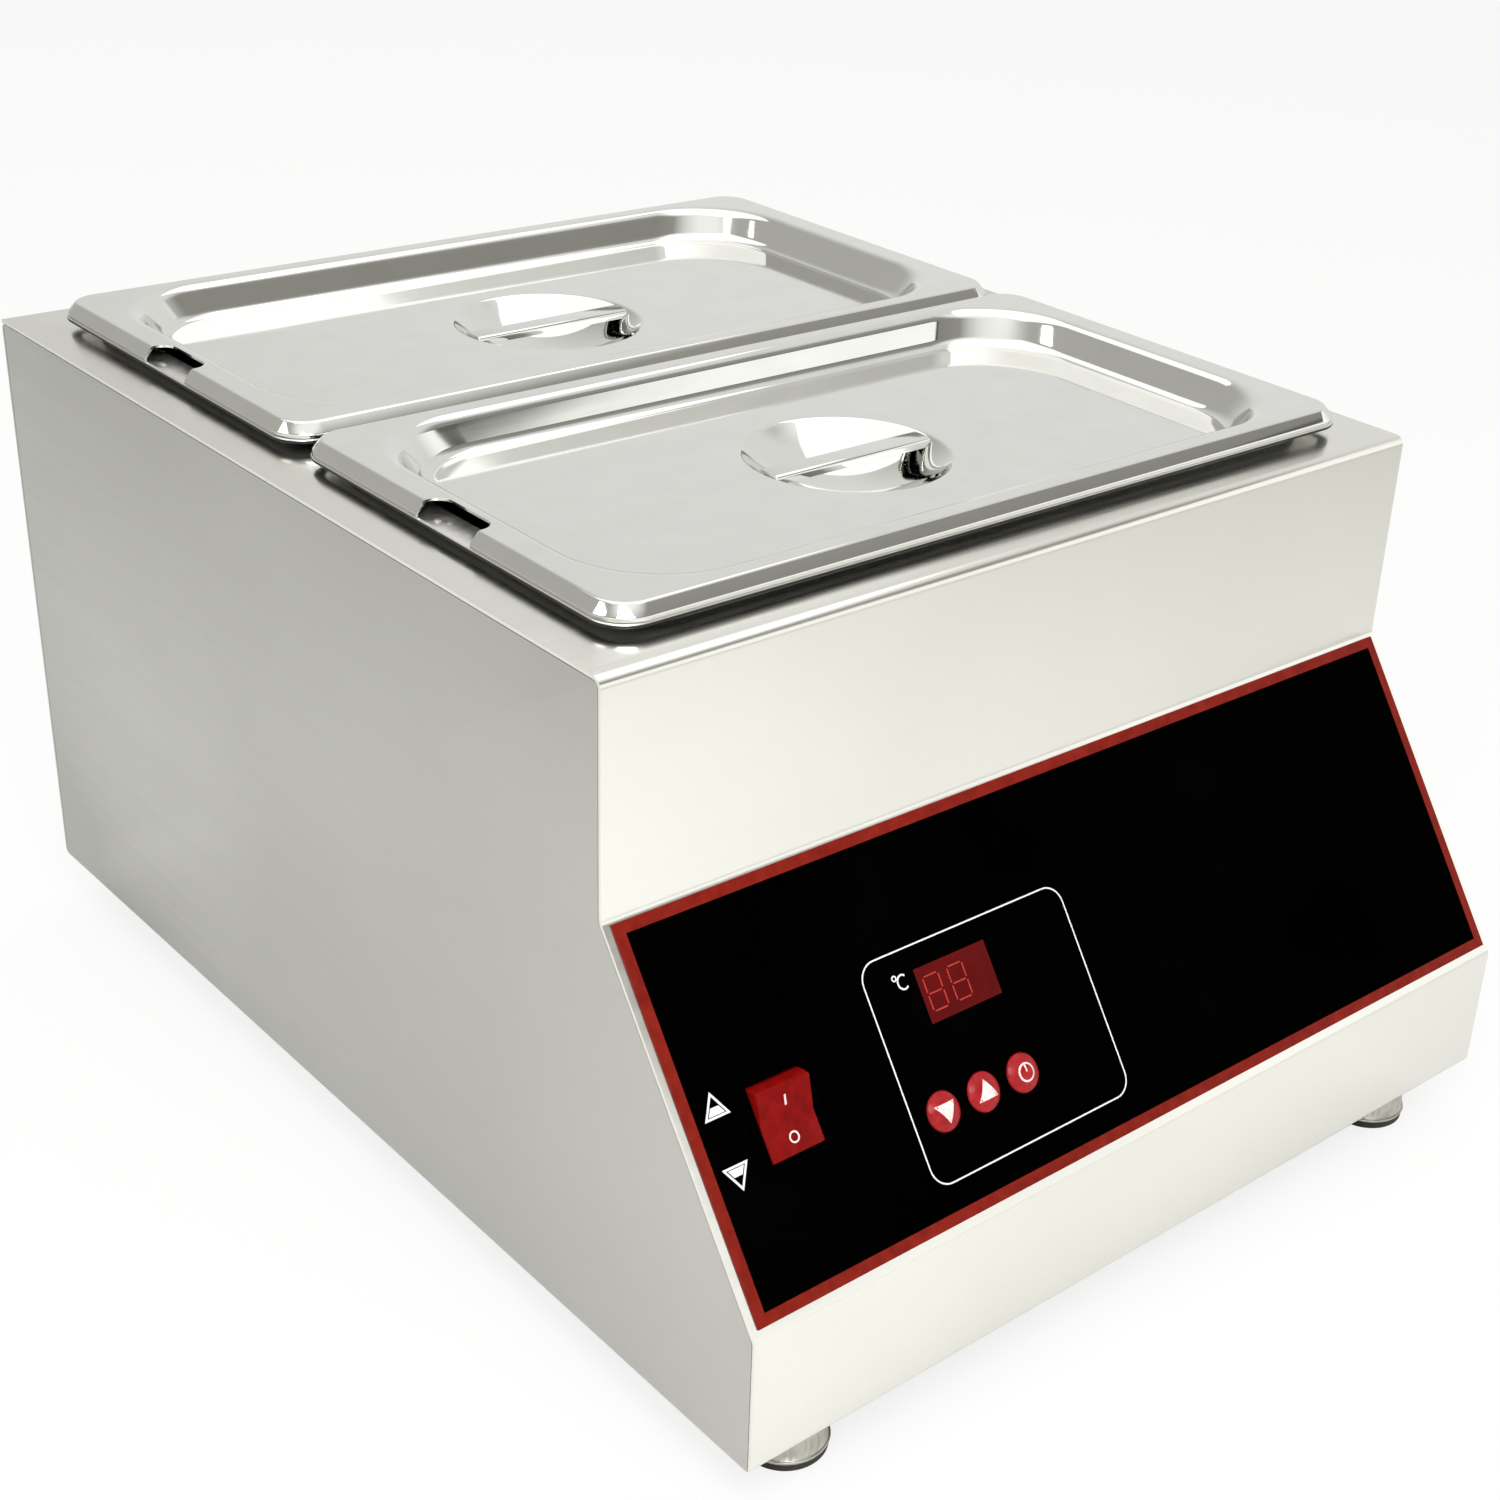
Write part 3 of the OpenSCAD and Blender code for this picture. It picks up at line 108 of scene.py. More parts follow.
def mixed(tree, share, first, second):
    """Mixes two colours by a share. Each is an output or a plain colour."""
    made = node(tree, "MixRGB")
    joined(tree, share, made.inputs["Fac"])
    for name, color in (("Color1", first), ("Color2", second)):
        if isinstance(color, tuple):
            made.inputs[name].default_value = (*color, 1)
        else:
            joined(tree, color, made.inputs[name])
    return made.outputs["Color"]


def eased(tree, source, low, high):
    """Turns the stretch between two values into a soft step from 0 to 1."""
    made = node(tree, "MapRange", interpolation_type="SMOOTHSTEP")
    made.inputs["From Min"].default_value = low
    made.inputs["From Max"].default_value = high
    joined(tree, source, made.inputs["Value"])
    return made.outputs["Result"]


# The back of the room is darker on the left. Its front is brighter than white low down and overhead,
# with a thin dark line and a grey band between. Heights and widths are shares of a direction's length.
WHITE = (1, 1, 1)
BACK_LEFT = (0.50, 0.495, 0.47)
BACK_RIGHT = (0.86, 0.86, 0.845)
BACK_LEFT_X = -0.20
BACK_RIGHT_X = 0.62
FRONT_Y_SHARE = -0.34
BACK_Y_SHARE = 0.10
FRONT_LOW = (1.25, 1.25, 1.22)
FRONT_LOW_TOP = 0.45
FRONT_HIGH = (1.15, 1.15, 1.13)
FRONT_HIGH_FOOT = 0.84
FRONT_BANDS = ((0.46, 0.12), (0.475, 0.12), (0.49, 0.30), (0.70, 0.36))
BAND_GREEN = 0.975
BAND_BLUE = 0.90
room = bpy.data.worlds.new("room")
bpy.context.scene.world = room
room.use_nodes = True
sky = room.node_tree
backdrop = sky.nodes["Background"]
path = node(sky, "LightPath")
seen = node(sky, "Math", operation="MAXIMUM")
joined(sky, path.outputs["Is Camera Ray"], seen.inputs[0])
joined(sky, path.outputs["Is Transmission Ray"], seen.inputs[1])
way = node(sky, "TexCoord")
split = node(sky, "SeparateXYZ")
joined(sky, way.outputs["Generated"], split.inputs["Vector"])
aside = eased(sky, split.outputs["X"], BACK_LEFT_X, BACK_RIGHT_X)
back_wall = mixed(sky, aside, BACK_LEFT, BACK_RIGHT)
front_wall = node(sky, "ValToRGB")
joined(sky, split.outputs["Z"], front_wall.inputs["Fac"])
shades = front_wall.color_ramp
shades.elements[0].position = FRONT_LOW_TOP
shades.elements[0].color = (*FRONT_LOW, 1)
shades.elements[1].position = FRONT_HIGH_FOOT
shades.elements[1].color = (*FRONT_HIGH, 1)
for place, shade in FRONT_BANDS:
    stop = shades.elements.new(place)
    stop.color = (shade, shade * BAND_GREEN, shade * BAND_BLUE, 1)
behind = eased(sky, split.outputs["Y"], FRONT_Y_SHARE, BACK_Y_SHARE)
walls = mixed(sky, behind, front_wall.outputs["Color"], back_wall)
joined(sky, mixed(sky, seen.outputs[0], walls, WHITE), backdrop.inputs["Color"])
backdrop.inputs["Strength"].default_value = 1.0

TABLE_SIZE = 8
TABLE_LIFT = 0.82
bpy.ops.object.select_all(action="DESELECT")
bpy.ops.mesh.primitive_plane_add(size=TABLE_SIZE, location=(0, 0, 0))
table = bpy.context.active_object
table.name = "table"
table_finish = bpy.data.materials.new("table")
table_finish.use_nodes = True
tree = table_finish.node_tree
plain = tree.nodes["Principled BSDF"]
plain.inputs["Base Color"].default_value = (0.80, 0.80, 0.79, 1)
plain.inputs["Roughness"].default_value = 0.9
plain.inputs["Specular IOR Level"].default_value = 0.1
white = node(tree, "Emission")
white.inputs["Strength"].default_value = 1.0
path = node(tree, "LightPath")
lift = node(tree, "Math", operation="MULTIPLY")
lift.inputs[1].default_value = TABLE_LIFT
joined(tree, path.outputs["Is Camera Ray"], lift.inputs[0])
blend = node(tree, "MixShader")
joined(tree, lift.outputs[0], blend.inputs["Fac"])
joined(tree, plain.outputs[0], blend.inputs[1])
joined(tree, white.outputs[0], blend.inputs[2])
joined(tree, blend.outputs[0], tree.nodes["Material Output"].inputs["Surface"])
table.data.materials.append(table_finish)

# Casing: side panels, cover, back and base plate are folded from 1.2 mm stainless sheet.
# The sheet has a fine satin grain along its length, with faint clouds in its tone.
# Its cut edges are rounded a little, so that each catches a fine line of light.


def finish(name, color, metallic, rough, specular=0.5):
    """Makes a plain finish and returns the material with its tree and shader."""
    made = bpy.data.materials.new(name)
    made.use_nodes = True
    shader = made.node_tree.nodes["Principled BSDF"]
    shader.inputs["Base Color"].default_value = (*color, 1)
    shader.inputs["Metallic"].default_value = metallic
    shader.inputs["Roughness"].default_value = rough
    shader.inputs["Specular IOR Level"].default_value = specular
    return made, made.node_tree, shader


def grain(tree, scale, stretch=(1, 1, 1), detail=3.0):
    """Noise on object coordinates, stretched along the grain."""
    way = node(tree, "TexCoord")
    lay = node(tree, "Mapping")
    lay.inputs["Scale"].default_value = stretch
    made = node(tree, "TexNoise")
    made.inputs["Scale"].default_value = scale
    made.inputs["Detail"].default_value = detail
    joined(tree, way.outputs["Object"], lay.inputs["Vector"])
    joined(tree, lay.outputs["Vector"], made.inputs["Vector"])
    return made.outputs["Fac"]


def spread(tree, source, low, high, from_low=0.3, from_high=0.7):
    """Maps a noise onto a range of values."""
    made = node(tree, "MapRange")
    made.inputs["From Min"].default_value = from_low
    made.inputs["From Max"].default_value = from_high
    made.inputs["To Min"].default_value = low
    made.inputs["To Max"].default_value = high
    joined(tree, source, made.inputs["Value"])
    return made.outputs["Result"]


def two_tone(tree, shader, source, dark, light):
    """Varies the base colour between two tones."""
    joined(tree, mixed(tree, spread(tree, source, 0, 1), dark, light), shader.inputs["Base Color"])


def relief(tree, shader, source, strength, depth):
    """Raises the surface a little by a noise."""
    made = node(tree, "Bump")
    made.inputs["Strength"].default_value = strength
    made.inputs["Distance"].default_value = depth
    joined(tree, source, made.inputs["Height"])
    joined(tree, made.outputs["Normal"], shader.inputs["Normal"])


def textured(tree, shader, source, dark, light, low, high, strength, depth):
    """Ties the tone, the roughness and a faint relief to one noise."""
    two_tone(tree, shader, source, dark, light)
    joined(tree, spread(tree, source, low, high), shader.inputs["Roughness"])
    relief(tree, shader, source, strength, depth)


def dress(material, *names):
    """Gives CAD nodes a finish."""
    for name in names:
        piece = nodes[name]
        if not piece.material_slots:
            piece.data.materials.append(material)
        for place in piece.material_slots:
            place.material = material


def satin_steel(name, dark, light, low, high, stretch, cloud=5.0):
    """Satin stainless: stretched grain in roughness and relief, soft clouds in colour."""
    made, tree, shader = finish(name, light, 1.0, (low + high) / 2)
    two_tone(tree, shader, grain(tree, cloud, detail=4.0), dark, light)
    fine = grain(tree, 300.0, stretch, detail=2.0)
    joined(tree, spread(tree, fine, low, high), shader.inputs["Roughness"])
    relief(tree, shader, fine, strength=0.008, depth=0.0001)
    return made


def settle(piece, matrix):
    """Moves a piece's mesh by a matrix and leaves the object at the origin."""
    piece.data.transform(matrix @ piece.matrix_world)
    piece.matrix_world = Matrix()
    piece.data.update()
    return piece


def clear():
    """Leaves nothing selected."""
    if bpy.context.object and bpy.context.object.mode == "EDIT":
        bpy.ops.object.mode_set(mode="OBJECT")
    bpy.ops.object.select_all(action="DESELECT")


def pick(piece):
    """Selects one piece and makes it active."""
    clear()
    piece.select_set(True)
    bpy.context.view_layer.objects.active = piece


def gather(pieces, name):
    """Joins pieces into one object."""
    clear()
    for piece in pieces:
        piece.select_set(True)
    bpy.context.view_layer.objects.active = pieces[0]
    if len(pieces) > 1:
        bpy.ops.object.join()
    made = bpy.context.active_object
    made.name = name
    made.data.name = name
    return made


MERGED = 0.00001
FLAT = math.radians(0.5)


def soft_copy(name, piece_name, angle=35, bevel=0.0, segments=2):
    """Copies a CAD node, merges its loose triangles, softens its edges and smooths it."""
    made = nodes[name].copy()
    made.data = nodes[name].data.copy()
    made.name = piece_name
    made.data.name = piece_name
    made.parent = None
    made.matrix_world = Matrix()
    bpy.context.collection.objects.link(made)
    pick(made)
    bpy.ops.object.mode_set(mode="EDIT")
    bpy.ops.mesh.select_all(action="SELECT")
    bpy.ops.mesh.remove_doubles(threshold=MERGED)
    bpy.ops.mesh.dissolve_limited(angle_limit=FLAT)
    bpy.ops.object.mode_set(mode="OBJECT")
    if bevel:
        edge = made.modifiers.new("edge", "BEVEL")
        edge.width = bevel
        edge.segments = segments
        edge.limit_method = "ANGLE"
        edge.angle_limit = math.radians(angle)
        edge.harden_normals = False
        bpy.ops.object.modifier_apply(modifier=edge.name)
    bpy.ops.object.shade_smooth_by_angle(angle=math.radians(angle))
    return made


def wear(piece, material, body):
    """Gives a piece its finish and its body."""
    piece.data.materials.clear()
    piece.data.materials.append(material)
    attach(piece, body)


cover_steel = satin_steel("cover_steel", (0.74, 0.735, 0.69), (0.80, 0.795, 0.75), 0.18, 0.24, (0.05, 1, 1))
# The sides, back and base plate take a darker copy of the cover's steel: painted shade for their less lit
# faces; their grain and roughness are their own.
side_steel = satin_steel(
    "side_steel", (0.45, 0.445, 0.425), (0.51, 0.505, 0.485), 0.28, 0.33, (1, 0.02, 1), 4.0
)
dress(side_steel, "base_plate")
EDGE_R = 0.0004
for name in ("top_front_cover", "side_panel_left", "side_panel_right", "rear_panel"):
    sheet = soft_copy(name, "dressed_" + name, angle=25, bevel=EDGE_R, segments=3)
    if name == "top_front_cover":
        wear(sheet, cover_steel, "base")
    else:
        wear(sheet, side_steel, "base")
    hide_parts(name)
screw_steel = satin_steel("screw_steel", (0.55, 0.55, 0.54), (0.68, 0.68, 0.67), 0.25, 0.4, (1, 1, 1), 60.0)
dress(screw_steel, "casing_screws", "base_screws", "cutout_screws", "board_standoffs", "board_screws",
      "terminal_screws", "earth_nuts", "foot_screws", "foot_nuts")

# Water bath: an open stainless tank hung by its flange under the deck, with element, probe and cut-out.
# The tank's steel is a little duller than the casing's, and the tubular element's sheath is darker.
tank_steel = satin_steel("tank_steel", (0.58, 0.58, 0.56), (0.70, 0.70, 0.68), 0.28, 0.42, (1, 1, 0.05), 12.0)
dress(tank_steel, "water_tank", "heater_support", "cutout_bracket", "temperature_probe")
element_steel = satin_steel(
    "element_steel", (0.30, 0.27, 0.23), (0.46, 0.43, 0.39), 0.35, 0.5, (1, 0.1, 1), 30.0
)
dress(element_steel, "heating_element")


def plain_finish(name, dark, light, low, high, metallic=0.0, scale=120.0, rise=0.1, specular=0.5):
    """Moulded or turned stuff: two close tones, uneven roughness and a faint relief."""
    made, tree, shader = finish(name, light, metallic, (low + high) / 2, specular)
    textured(tree, shader, grain(tree, scale), dark, light, low, high, rise, depth=0.0002)
    return made


brass = plain_finish("turned_brass", (0.58, 0.44, 0.20), (0.74, 0.60, 0.32), 0.25, 0.4, 1.0, 90.0)
dress(brass, "element_nuts", "probe_nut", "rocker_blades", "earth_stud")
black_rubber = plain_finish("black_rubber", (0.018, 0.018, 0.017), (0.034, 0.034, 0.033), 0.7, 0.85, rise=0.3)
dress(black_rubber, "element_gaskets", "gland_seal")
black_resin = plain_finish("black_resin", (0.022, 0.020, 0.018), (0.036, 0.034, 0.031), 0.45, 0.6)
dress(black_resin, "thermal_cutout", "push_switches")

# Electronics: a green glass-fibre board with its switches, transformer, relay and terminals behind the slope.
# It stands on pillars that are welded to the sheet, and the lead ends in a block beside an earth stud.
board_green = plain_finish(
    "board_green", (0.010, 0.085, 0.030), (0.020, 0.135, 0.050), 0.25, 0.4, scale=200.0
)
dress(board_green, "control_board")
terminal_green = plain_finish("terminal_green", (0.015, 0.16, 0.05), (0.025, 0.23, 0.08), 0.4, 0.55)
dress(terminal_green, "board_terminals")
potting_black = plain_finish("potting_black", (0.03, 0.03, 0.028), (0.05, 0.048, 0.045), 0.4, 0.6, rise=0.25)
dress(potting_black, "transformer")
relay_blue = plain_finish("relay_blue", (0.010, 0.045, 0.24), (0.018, 0.070, 0.32), 0.22, 0.32)
dress(relay_blue, "power_relay")
block_white = plain_finish("block_white", (0.62, 0.60, 0.53), (0.74, 0.72, 0.65), 0.4, 0.55)
dress(block_white, "mains_terminal_block")
module_black = plain_finish("module_black", (0.012, 0.005, 0.005), (0.024, 0.009, 0.009), 0.5, 0.65)
dress(module_black, "display_module")

# Control panel: a black plate inside a red trim, bonded to the slope, with white marks printed on it.
# The marks are a rounded outline, arrows and a degree sign with its letter.
# The plate's gloss is left off, because none shows in the photo.
panel_black, tree, shader = finish("panel_black", (0.003, 0.003, 0.003), 0.0, 0.14, 0.0)
fine = grain(tree, 900.0, detail=2.0)
joined(tree, spread(tree, fine, 0.10, 0.17), shader.inputs["Roughness"])
relief(tree, shader, fine, strength=0.02, depth=0.0001)
two_tone(tree, shader, grain(tree, 14.0), (0.0002, 0.0002, 0.0002), (0.0006, 0.0006, 0.0005))
dress(panel_black, "control_plate")
trim_red, tree, shader = finish("trim_red", (0.17, 0.010, 0.006), 0.0, 0.35, 0.06)
textured(
    tree, shader, grain(tree, 240.0), (0.14, 0.008, 0.004), (0.20, 0.013, 0.007), 0.28, 0.42, 0.05, 0.0001
)
dress(trim_red, "panel_trim")

MM = 0.001
CASE_W = 0.3556
FRONT_Y = -0.241
SLOPE_FOOT_Z = 0.0702
SLOPE_L = 0.128826
SLOPE_SIN = 0.58373
SLOPE_COS = 0.81195
PANEL_T = 0.0008


def on_slope(u, v, w=0.0):
    """Matrix for a flat piece on the slope: u mm from its left edge, v mm below its fold, w m outwards."""
    s = SLOPE_L - v * MM
    place = Vector((
        -CASE_W / 2 + u * MM,
        FRONT_Y + SLOPE_SIN * s - SLOPE_COS * w,
        SLOPE_FOOT_Z + SLOPE_COS * s + SLOPE_SIN * w,
    ))
    turn = Matrix(((1, 0, 0), (0, SLOPE_SIN, -SLOPE_COS), (0, SLOPE_COS, SLOPE_SIN))).to_4x4()
    return Matrix.Translation(place) @ turn


def thicken(piece, depth):
    """Pulls a flat face up into a thin closed plate."""
    pick(piece)
    bpy.ops.object.mode_set(mode="EDIT")
    bpy.ops.mesh.select_all(action="SELECT")
    bpy.ops.mesh.extrude_region_move(TRANSFORM_OT_translate={"value": (0, 0, depth)})
    bpy.ops.mesh.select_all(action="SELECT")
    bpy.ops.mesh.normals_make_consistent(inside=False)
    bpy.ops.object.mode_set(mode="OBJECT")
    return piece


PRINT_T = 0.00006


def flat_outline(points, width, closed=True):
    """A printed line through points in mm, with mitred corners."""
    mesh = bmesh.new()
    corners = [Vector((x * MM, y * MM, 0)) for x, y in points]
    count = len(corners)
    rows = []
    for i, here in enumerate(corners):
        back = corners[i - 1] if closed or i > 0 else here
        ahead = corners[(i + 1) % count] if closed or i < count - 1 else here
        a = (here - back).normalized() if here != back else (ahead - here).normalized()
        b = (ahead - here).normalized() if ahead != here else a
        m = Vector((-a.y - b.y, a.x + b.x, 0))
        m = m * (width * MM / m.length_squared)
        rows.append([mesh.verts.new(here + m), mesh.verts.new(here - m)])
    last = count if closed else count - 1
    for i in range(last):
        j = (i + 1) % count
        mesh.faces.new((rows[i][0], rows[i][1], rows[j][1], rows[j][0]))
    bmesh.ops.recalc_face_normals(mesh, faces=mesh.faces)
    data = bpy.data.meshes.new("line")
    mesh.to_mesh(data)
    mesh.free()
    made = bpy.data.objects.new("line", data)
    bpy.context.collection.objects.link(made)
    return thicken(made, PRINT_T)


def flat_shape(points):
    """A printed patch with corners in mm."""
    data = bpy.data.meshes.new("patch")
    data.from_pydata([(x * MM, y * MM, 0) for x, y in points], [], [list(range(len(points)))])
    made = bpy.data.objects.new("patch", data)
    bpy.context.collection.objects.link(made)
    return thicken(made, PRINT_T)


def ring_points(x, y, r, count=24):
    """Points of a circle."""
    return [(x + r * math.cos(2 * math.pi * i / count), y + r * math.sin(2 * math.pi * i / count))
            for i in range(count)]


def rounded_points(w, h, r, count=8):
    """Points of a rectangle with round corners."""
    points = []
    for cx, cy, a in ((w / 2 - r, h / 2 - r, 0), (-w / 2 + r, h / 2 - r, 90),
                      (-w / 2 + r, -h / 2 + r, 180), (w / 2 - r, -h / 2 + r, 270)):
        for i in range(count + 1):
            t = math.radians(a + 90 * i / count)
            points.append((cx + r * math.cos(t), cy + r * math.sin(t)))
    return points


print_white, tree, shader = finish("print_white", (0.74, 0.74, 0.73), 0.0, 0.45, 0.3)
textured(
    tree, shader, grain(tree, 700.0, detail=2.0),
    (0.62, 0.62, 0.61), (0.80, 0.80, 0.79), 0.38, 0.52, 0.05, 0.00005
)

# Sizes of the marks are in mm, and each place is the distance from the slope's left edge and from its fold.
OUTLINE_AT = (121.6, 76.75)
OUTLINE_W = 86.8
OUTLINE_H = 72.5
OUTLINE_R = 6.5
OUTLINE_LINE = 0.5
ARROWS = (((13.9, 62.1), 1), ((13.7, 81.9), -1))
ARROW_POINTS = ((0, 4.6), (4.1, -2.3), (-4.1, -2.3))
ARROW_FILL = ((2.9, -1.7), (-2.9, -1.7), (-1.5, 0.7), (1.5, 0.7))
ARROW_LINE = 0.7
UNIT_AT = (91.9, 50.2)
DEGREE_X = -1.9
DEGREE_Y = 2.0
DEGREE_R = 0.8
DEGREE_LINE = 0.45
LETTER_X = 1.0
LETTER_HALF_W = 2.1
LETTER_HALF_H = 2.3
LETTER_LINE = 0.6
LETTER_TURN = range(50, 311, 20)
marks = []
outline = flat_outline(rounded_points(OUTLINE_W, OUTLINE_H, OUTLINE_R), OUTLINE_LINE)
marks.append(settle(outline, on_slope(*OUTLINE_AT, PANEL_T)))
for centre, way_up in ARROWS:
    points = [(x, y * way_up) for x, y in ARROW_POINTS]
    if way_up < 0:
        points.reverse()
    marks.append(settle(flat_outline(points, ARROW_LINE), on_slope(*centre, PANEL_T)))
    fill = [(x, y * way_up) for x, y in ARROW_FILL]
    marks.append(settle(flat_shape(fill), on_slope(*centre, PANEL_T)))
degree = flat_outline(ring_points(DEGREE_X, DEGREE_Y, DEGREE_R, 12), DEGREE_LINE)
marks.append(settle(degree, on_slope(*UNIT_AT, PANEL_T)))
letter = [(LETTER_X + LETTER_HALF_W * math.cos(math.radians(a)), LETTER_HALF_H * math.sin(math.radians(a)))
          for a in LETTER_TURN]
marks.append(settle(flat_outline(letter, LETTER_LINE, closed=False), on_slope(*UNIT_AT, PANEL_T)))
panel_marks = gather(marks, "panel_marks")
wear(panel_marks, print_white, "base")

# Display: a dark red acrylic lens, flush with the plate, over a two-digit seven-segment block.
# The digits show faintly through the lens, so they are laid just over its face, with a faint glow.
lens_red, tree, shader = finish("lens_red", (0.10, 0.002, 0.002), 0.0, 0.10, 0.06)
two_tone(tree, shader, grain(tree, 60.0), (0.070, 0.001, 0.001), (0.105, 0.002, 0.002))
fine = grain(tree, 800.0, detail=2.0)
joined(tree, spread(tree, fine, 0.08, 0.16), shader.inputs["Roughness"])
relief(tree, shader, fine, strength=0.02, depth=0.00005)
dress(lens_red, "display_window")
segment_red, tree, shader = finish("segment_red", (0.34, 0.02, 0.015), 0.0, 0.4, 0.3)
shader.inputs["Emission Color"].default_value = (0.5, 0.02, 0.015, 1)
shader.inputs["Emission Strength"].default_value = 0.12
textured(
    tree, shader, grain(tree, 500.0), (0.28, 0.015, 0.012), (0.38, 0.024, 0.018), 0.35, 0.5, 0.05, 0.00005
)
DISPLAY_X = 113.2
DISPLAY_Y = 57
DIGITS_X = (-9.6, 0.6)
DIGIT_HALF_W = 3.2
DIGIT_HALF_H = 5.6
UPRIGHT_Y = 2.8
BAR_HALF = 2.7
UPRIGHT_HALF = 2.4
BAR_POINT = 0.25


def bar_points(half):
    """Points of one lying segment, pointed at both ends."""
    flat = half - BAR_POINT
    lower = [(-half, 0), (-flat, -BAR_POINT), (flat, -BAR_POINT)]
    upper = [(half, 0), (flat, BAR_POINT), (-flat, BAR_POINT)]
    return lower + upper


segments = []
for digit_x in DIGITS_X:
    for y in (-DIGIT_HALF_H, 0.0, DIGIT_HALF_H):
        bar = flat_shape(bar_points(BAR_HALF))
        segments.append(settle(bar, on_slope(DISPLAY_X + digit_x, DISPLAY_Y - y, PANEL_T)))
    for x in (-DIGIT_HALF_W, DIGIT_HALF_W):
        for y in (-UPRIGHT_Y, UPRIGHT_Y):
            bar = flat_shape([(-rise, run) for run, rise in bar_points(UPRIGHT_HALF)])
            segments.append(settle(bar, on_slope(DISPLAY_X + digit_x + x, DISPLAY_Y - y, PANEL_T)))
digit_segments = gather(segments, "digit_segments")
wear(digit_segments, segment_red, "base")

# Push buttons: domed red caps that stand a little out of the plate, each with a printed sign.
# Every cap is moulded in one piece with the flange and the stem behind the sheet.
button_red, tree, shader = finish("button_red", (0.30, 0.010, 0.013), 0.0, 0.3, 0.15)
textured(
    tree, shader, grain(tree, 320.0), (0.25, 0.008, 0.011), (0.34, 0.014, 0.018), 0.18, 0.32, 0.04, 0.0001
)
sign_white, tree, shader = finish("sign_white", (0.78, 0.62, 0.60), 0.0, 0.4, 0.3)
textured(tree, shader, grain(tree, 500.0), (0.70, 0.52, 0.50), (0.84, 0.70, 0.68), 0.35, 0.5, 0.04, 0.00005)
CAP_R = 0.0065
CAP_RISE = 0.0022
CAP_BALL_R = (CAP_R ** 2 + CAP_RISE ** 2) / (2 * CAP_RISE)
CAP_EDGE = 0.0004
FIRST_BUTTON_X = 90.7
BUTTON_PITCH = 17.2
BUTTON_Y = 92
SIGN_POINTS = ((0, -4.1), (4.0, 2.5), (-4.0, 2.5))
SET_R = 2.9
SET_FOOT = 0.2
SET_LINE = 0.6


def drape(piece):
    """Subdivides a flat sign and lays it over the cap's dome."""
    pick(piece)
    bpy.ops.object.mode_set(mode="EDIT")
    bpy.ops.mesh.select_all(action="SELECT")
    bpy.ops.mesh.quads_convert_to_tris()
    bpy.ops.mesh.subdivide(number_cuts=3)
    bpy.ops.object.mode_set(mode="OBJECT")
    for vertex in piece.data.vertices:
        r2 = vertex.co.x ** 2 + vertex.co.y ** 2
        vertex.co.z += CAP_RISE - CAP_BALL_R + math.sqrt(CAP_BALL_R ** 2 - r2)
    return piece


signs = {
    "down": [flat_shape(SIGN_POINTS)],
    "up": [flat_shape([(-x, -y) for x, y in SIGN_POINTS])],
    "set": [flat_outline(ring_points(0, 0, SET_R, 20), SET_LINE),
            flat_outline([(0, SET_FOOT), (0, SET_R)], SET_LINE, closed=False)],
}
for i, (name, parts) in enumerate(signs.items()):
    cap = soft_copy("button_" + name, "cap_" + name, bevel=CAP_EDGE)
    wear(cap, button_red, "button_" + name)
    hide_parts("button_" + name)
    sign = gather([drape(part) for part in parts], "sign_" + name)
    settle(sign, on_slope(FIRST_BUTTON_X + BUTTON_PITCH * i, BUTTON_Y, PANEL_T))
    wear(sign, sign_white, "button_" + name)

# Mains switch: a translucent red rocker in a black bezel, shown off, with its upper end standing out.
# Its plain on and off marks are printed on the two faces.
bezel_black = plain_finish(
    "bezel_black", (0.0002, 0.0002, 0.0002), (0.0006, 0.0006, 0.0006), 0.3, 0.45, scale=300.0, specular=0.0
)
BEZEL_EDGE = 0.0003
bezel = soft_copy("rocker_housing", "switch_bezel", bevel=BEZEL_EDGE)
wear(bezel, bezel_black, "base")
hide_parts("rocker_housing")
rocker_red, tree, shader = finish("rocker_red", (0.19, 0.003, 0.003), 0.0, 0.2, 0.06)
shader.inputs["Subsurface Weight"].default_value = 0.15
shader.inputs["Subsurface Radius"].default_value = (0.004, 0.0005, 0.0005)
shader.inputs["Subsurface Scale"].default_value = 1.0
textured(
    tree, shader, grain(tree, 260.0), (0.14, 0.002, 0.002), (0.21, 0.004, 0.003), 0.14, 0.26, 0.04, 0.0001
)
ROCKER_EDGE = 0.0005
rocker = soft_copy("rocker", "rocker_cap", bevel=ROCKER_EDGE, segments=3)
wear(rocker, rocker_red, "rocker")
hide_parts("rocker")
ROCKER_R = 0.01225
ROCKER_CREST = 0.004
ROCKER_HALF = 11.0
ROCKER_REACH = ROCKER_CREST * math.cos(math.radians(ROCKER_HALF))
ROCKER_END = ROCKER_HALF + math.degrees(math.asin(ROCKER_REACH / ROCKER_R))
ROCKER_AT = (35.5, 72.3)
ROCKER_SINK = 0.002
MARK_GAP = 0.00002
MARK_SHARE = 0.55
ON_HALF_W = 0.35
ON_HALF_H = 1.7
OFF_R = 1.6
OFF_LINE = 0.55


def on_rocker(end, share):
    """Lays a flat mark on the upper (1) or lower (-1) face, part way from the crest to its end."""
    turn = math.radians(ROCKER_END)
    tip = Vector((0, end * ROCKER_R * math.cos(turn), ROCKER_R * math.sin(turn)))
    crest = Vector((0, 0, ROCKER_CREST))
    along = (tip - crest).normalized() * end
    out = Vector((1, 0, 0)).cross(along)
    face = Matrix((Vector((1, 0, 0)), along, out)).transposed().to_4x4()
    middle = crest.lerp(tip, share)
    swing = Matrix.Rotation(math.radians(ROCKER_HALF), 4, "X")
    return on_slope(*ROCKER_AT, -ROCKER_SINK) @ swing @ Matrix.Translation(middle + out * MARK_GAP) @ face


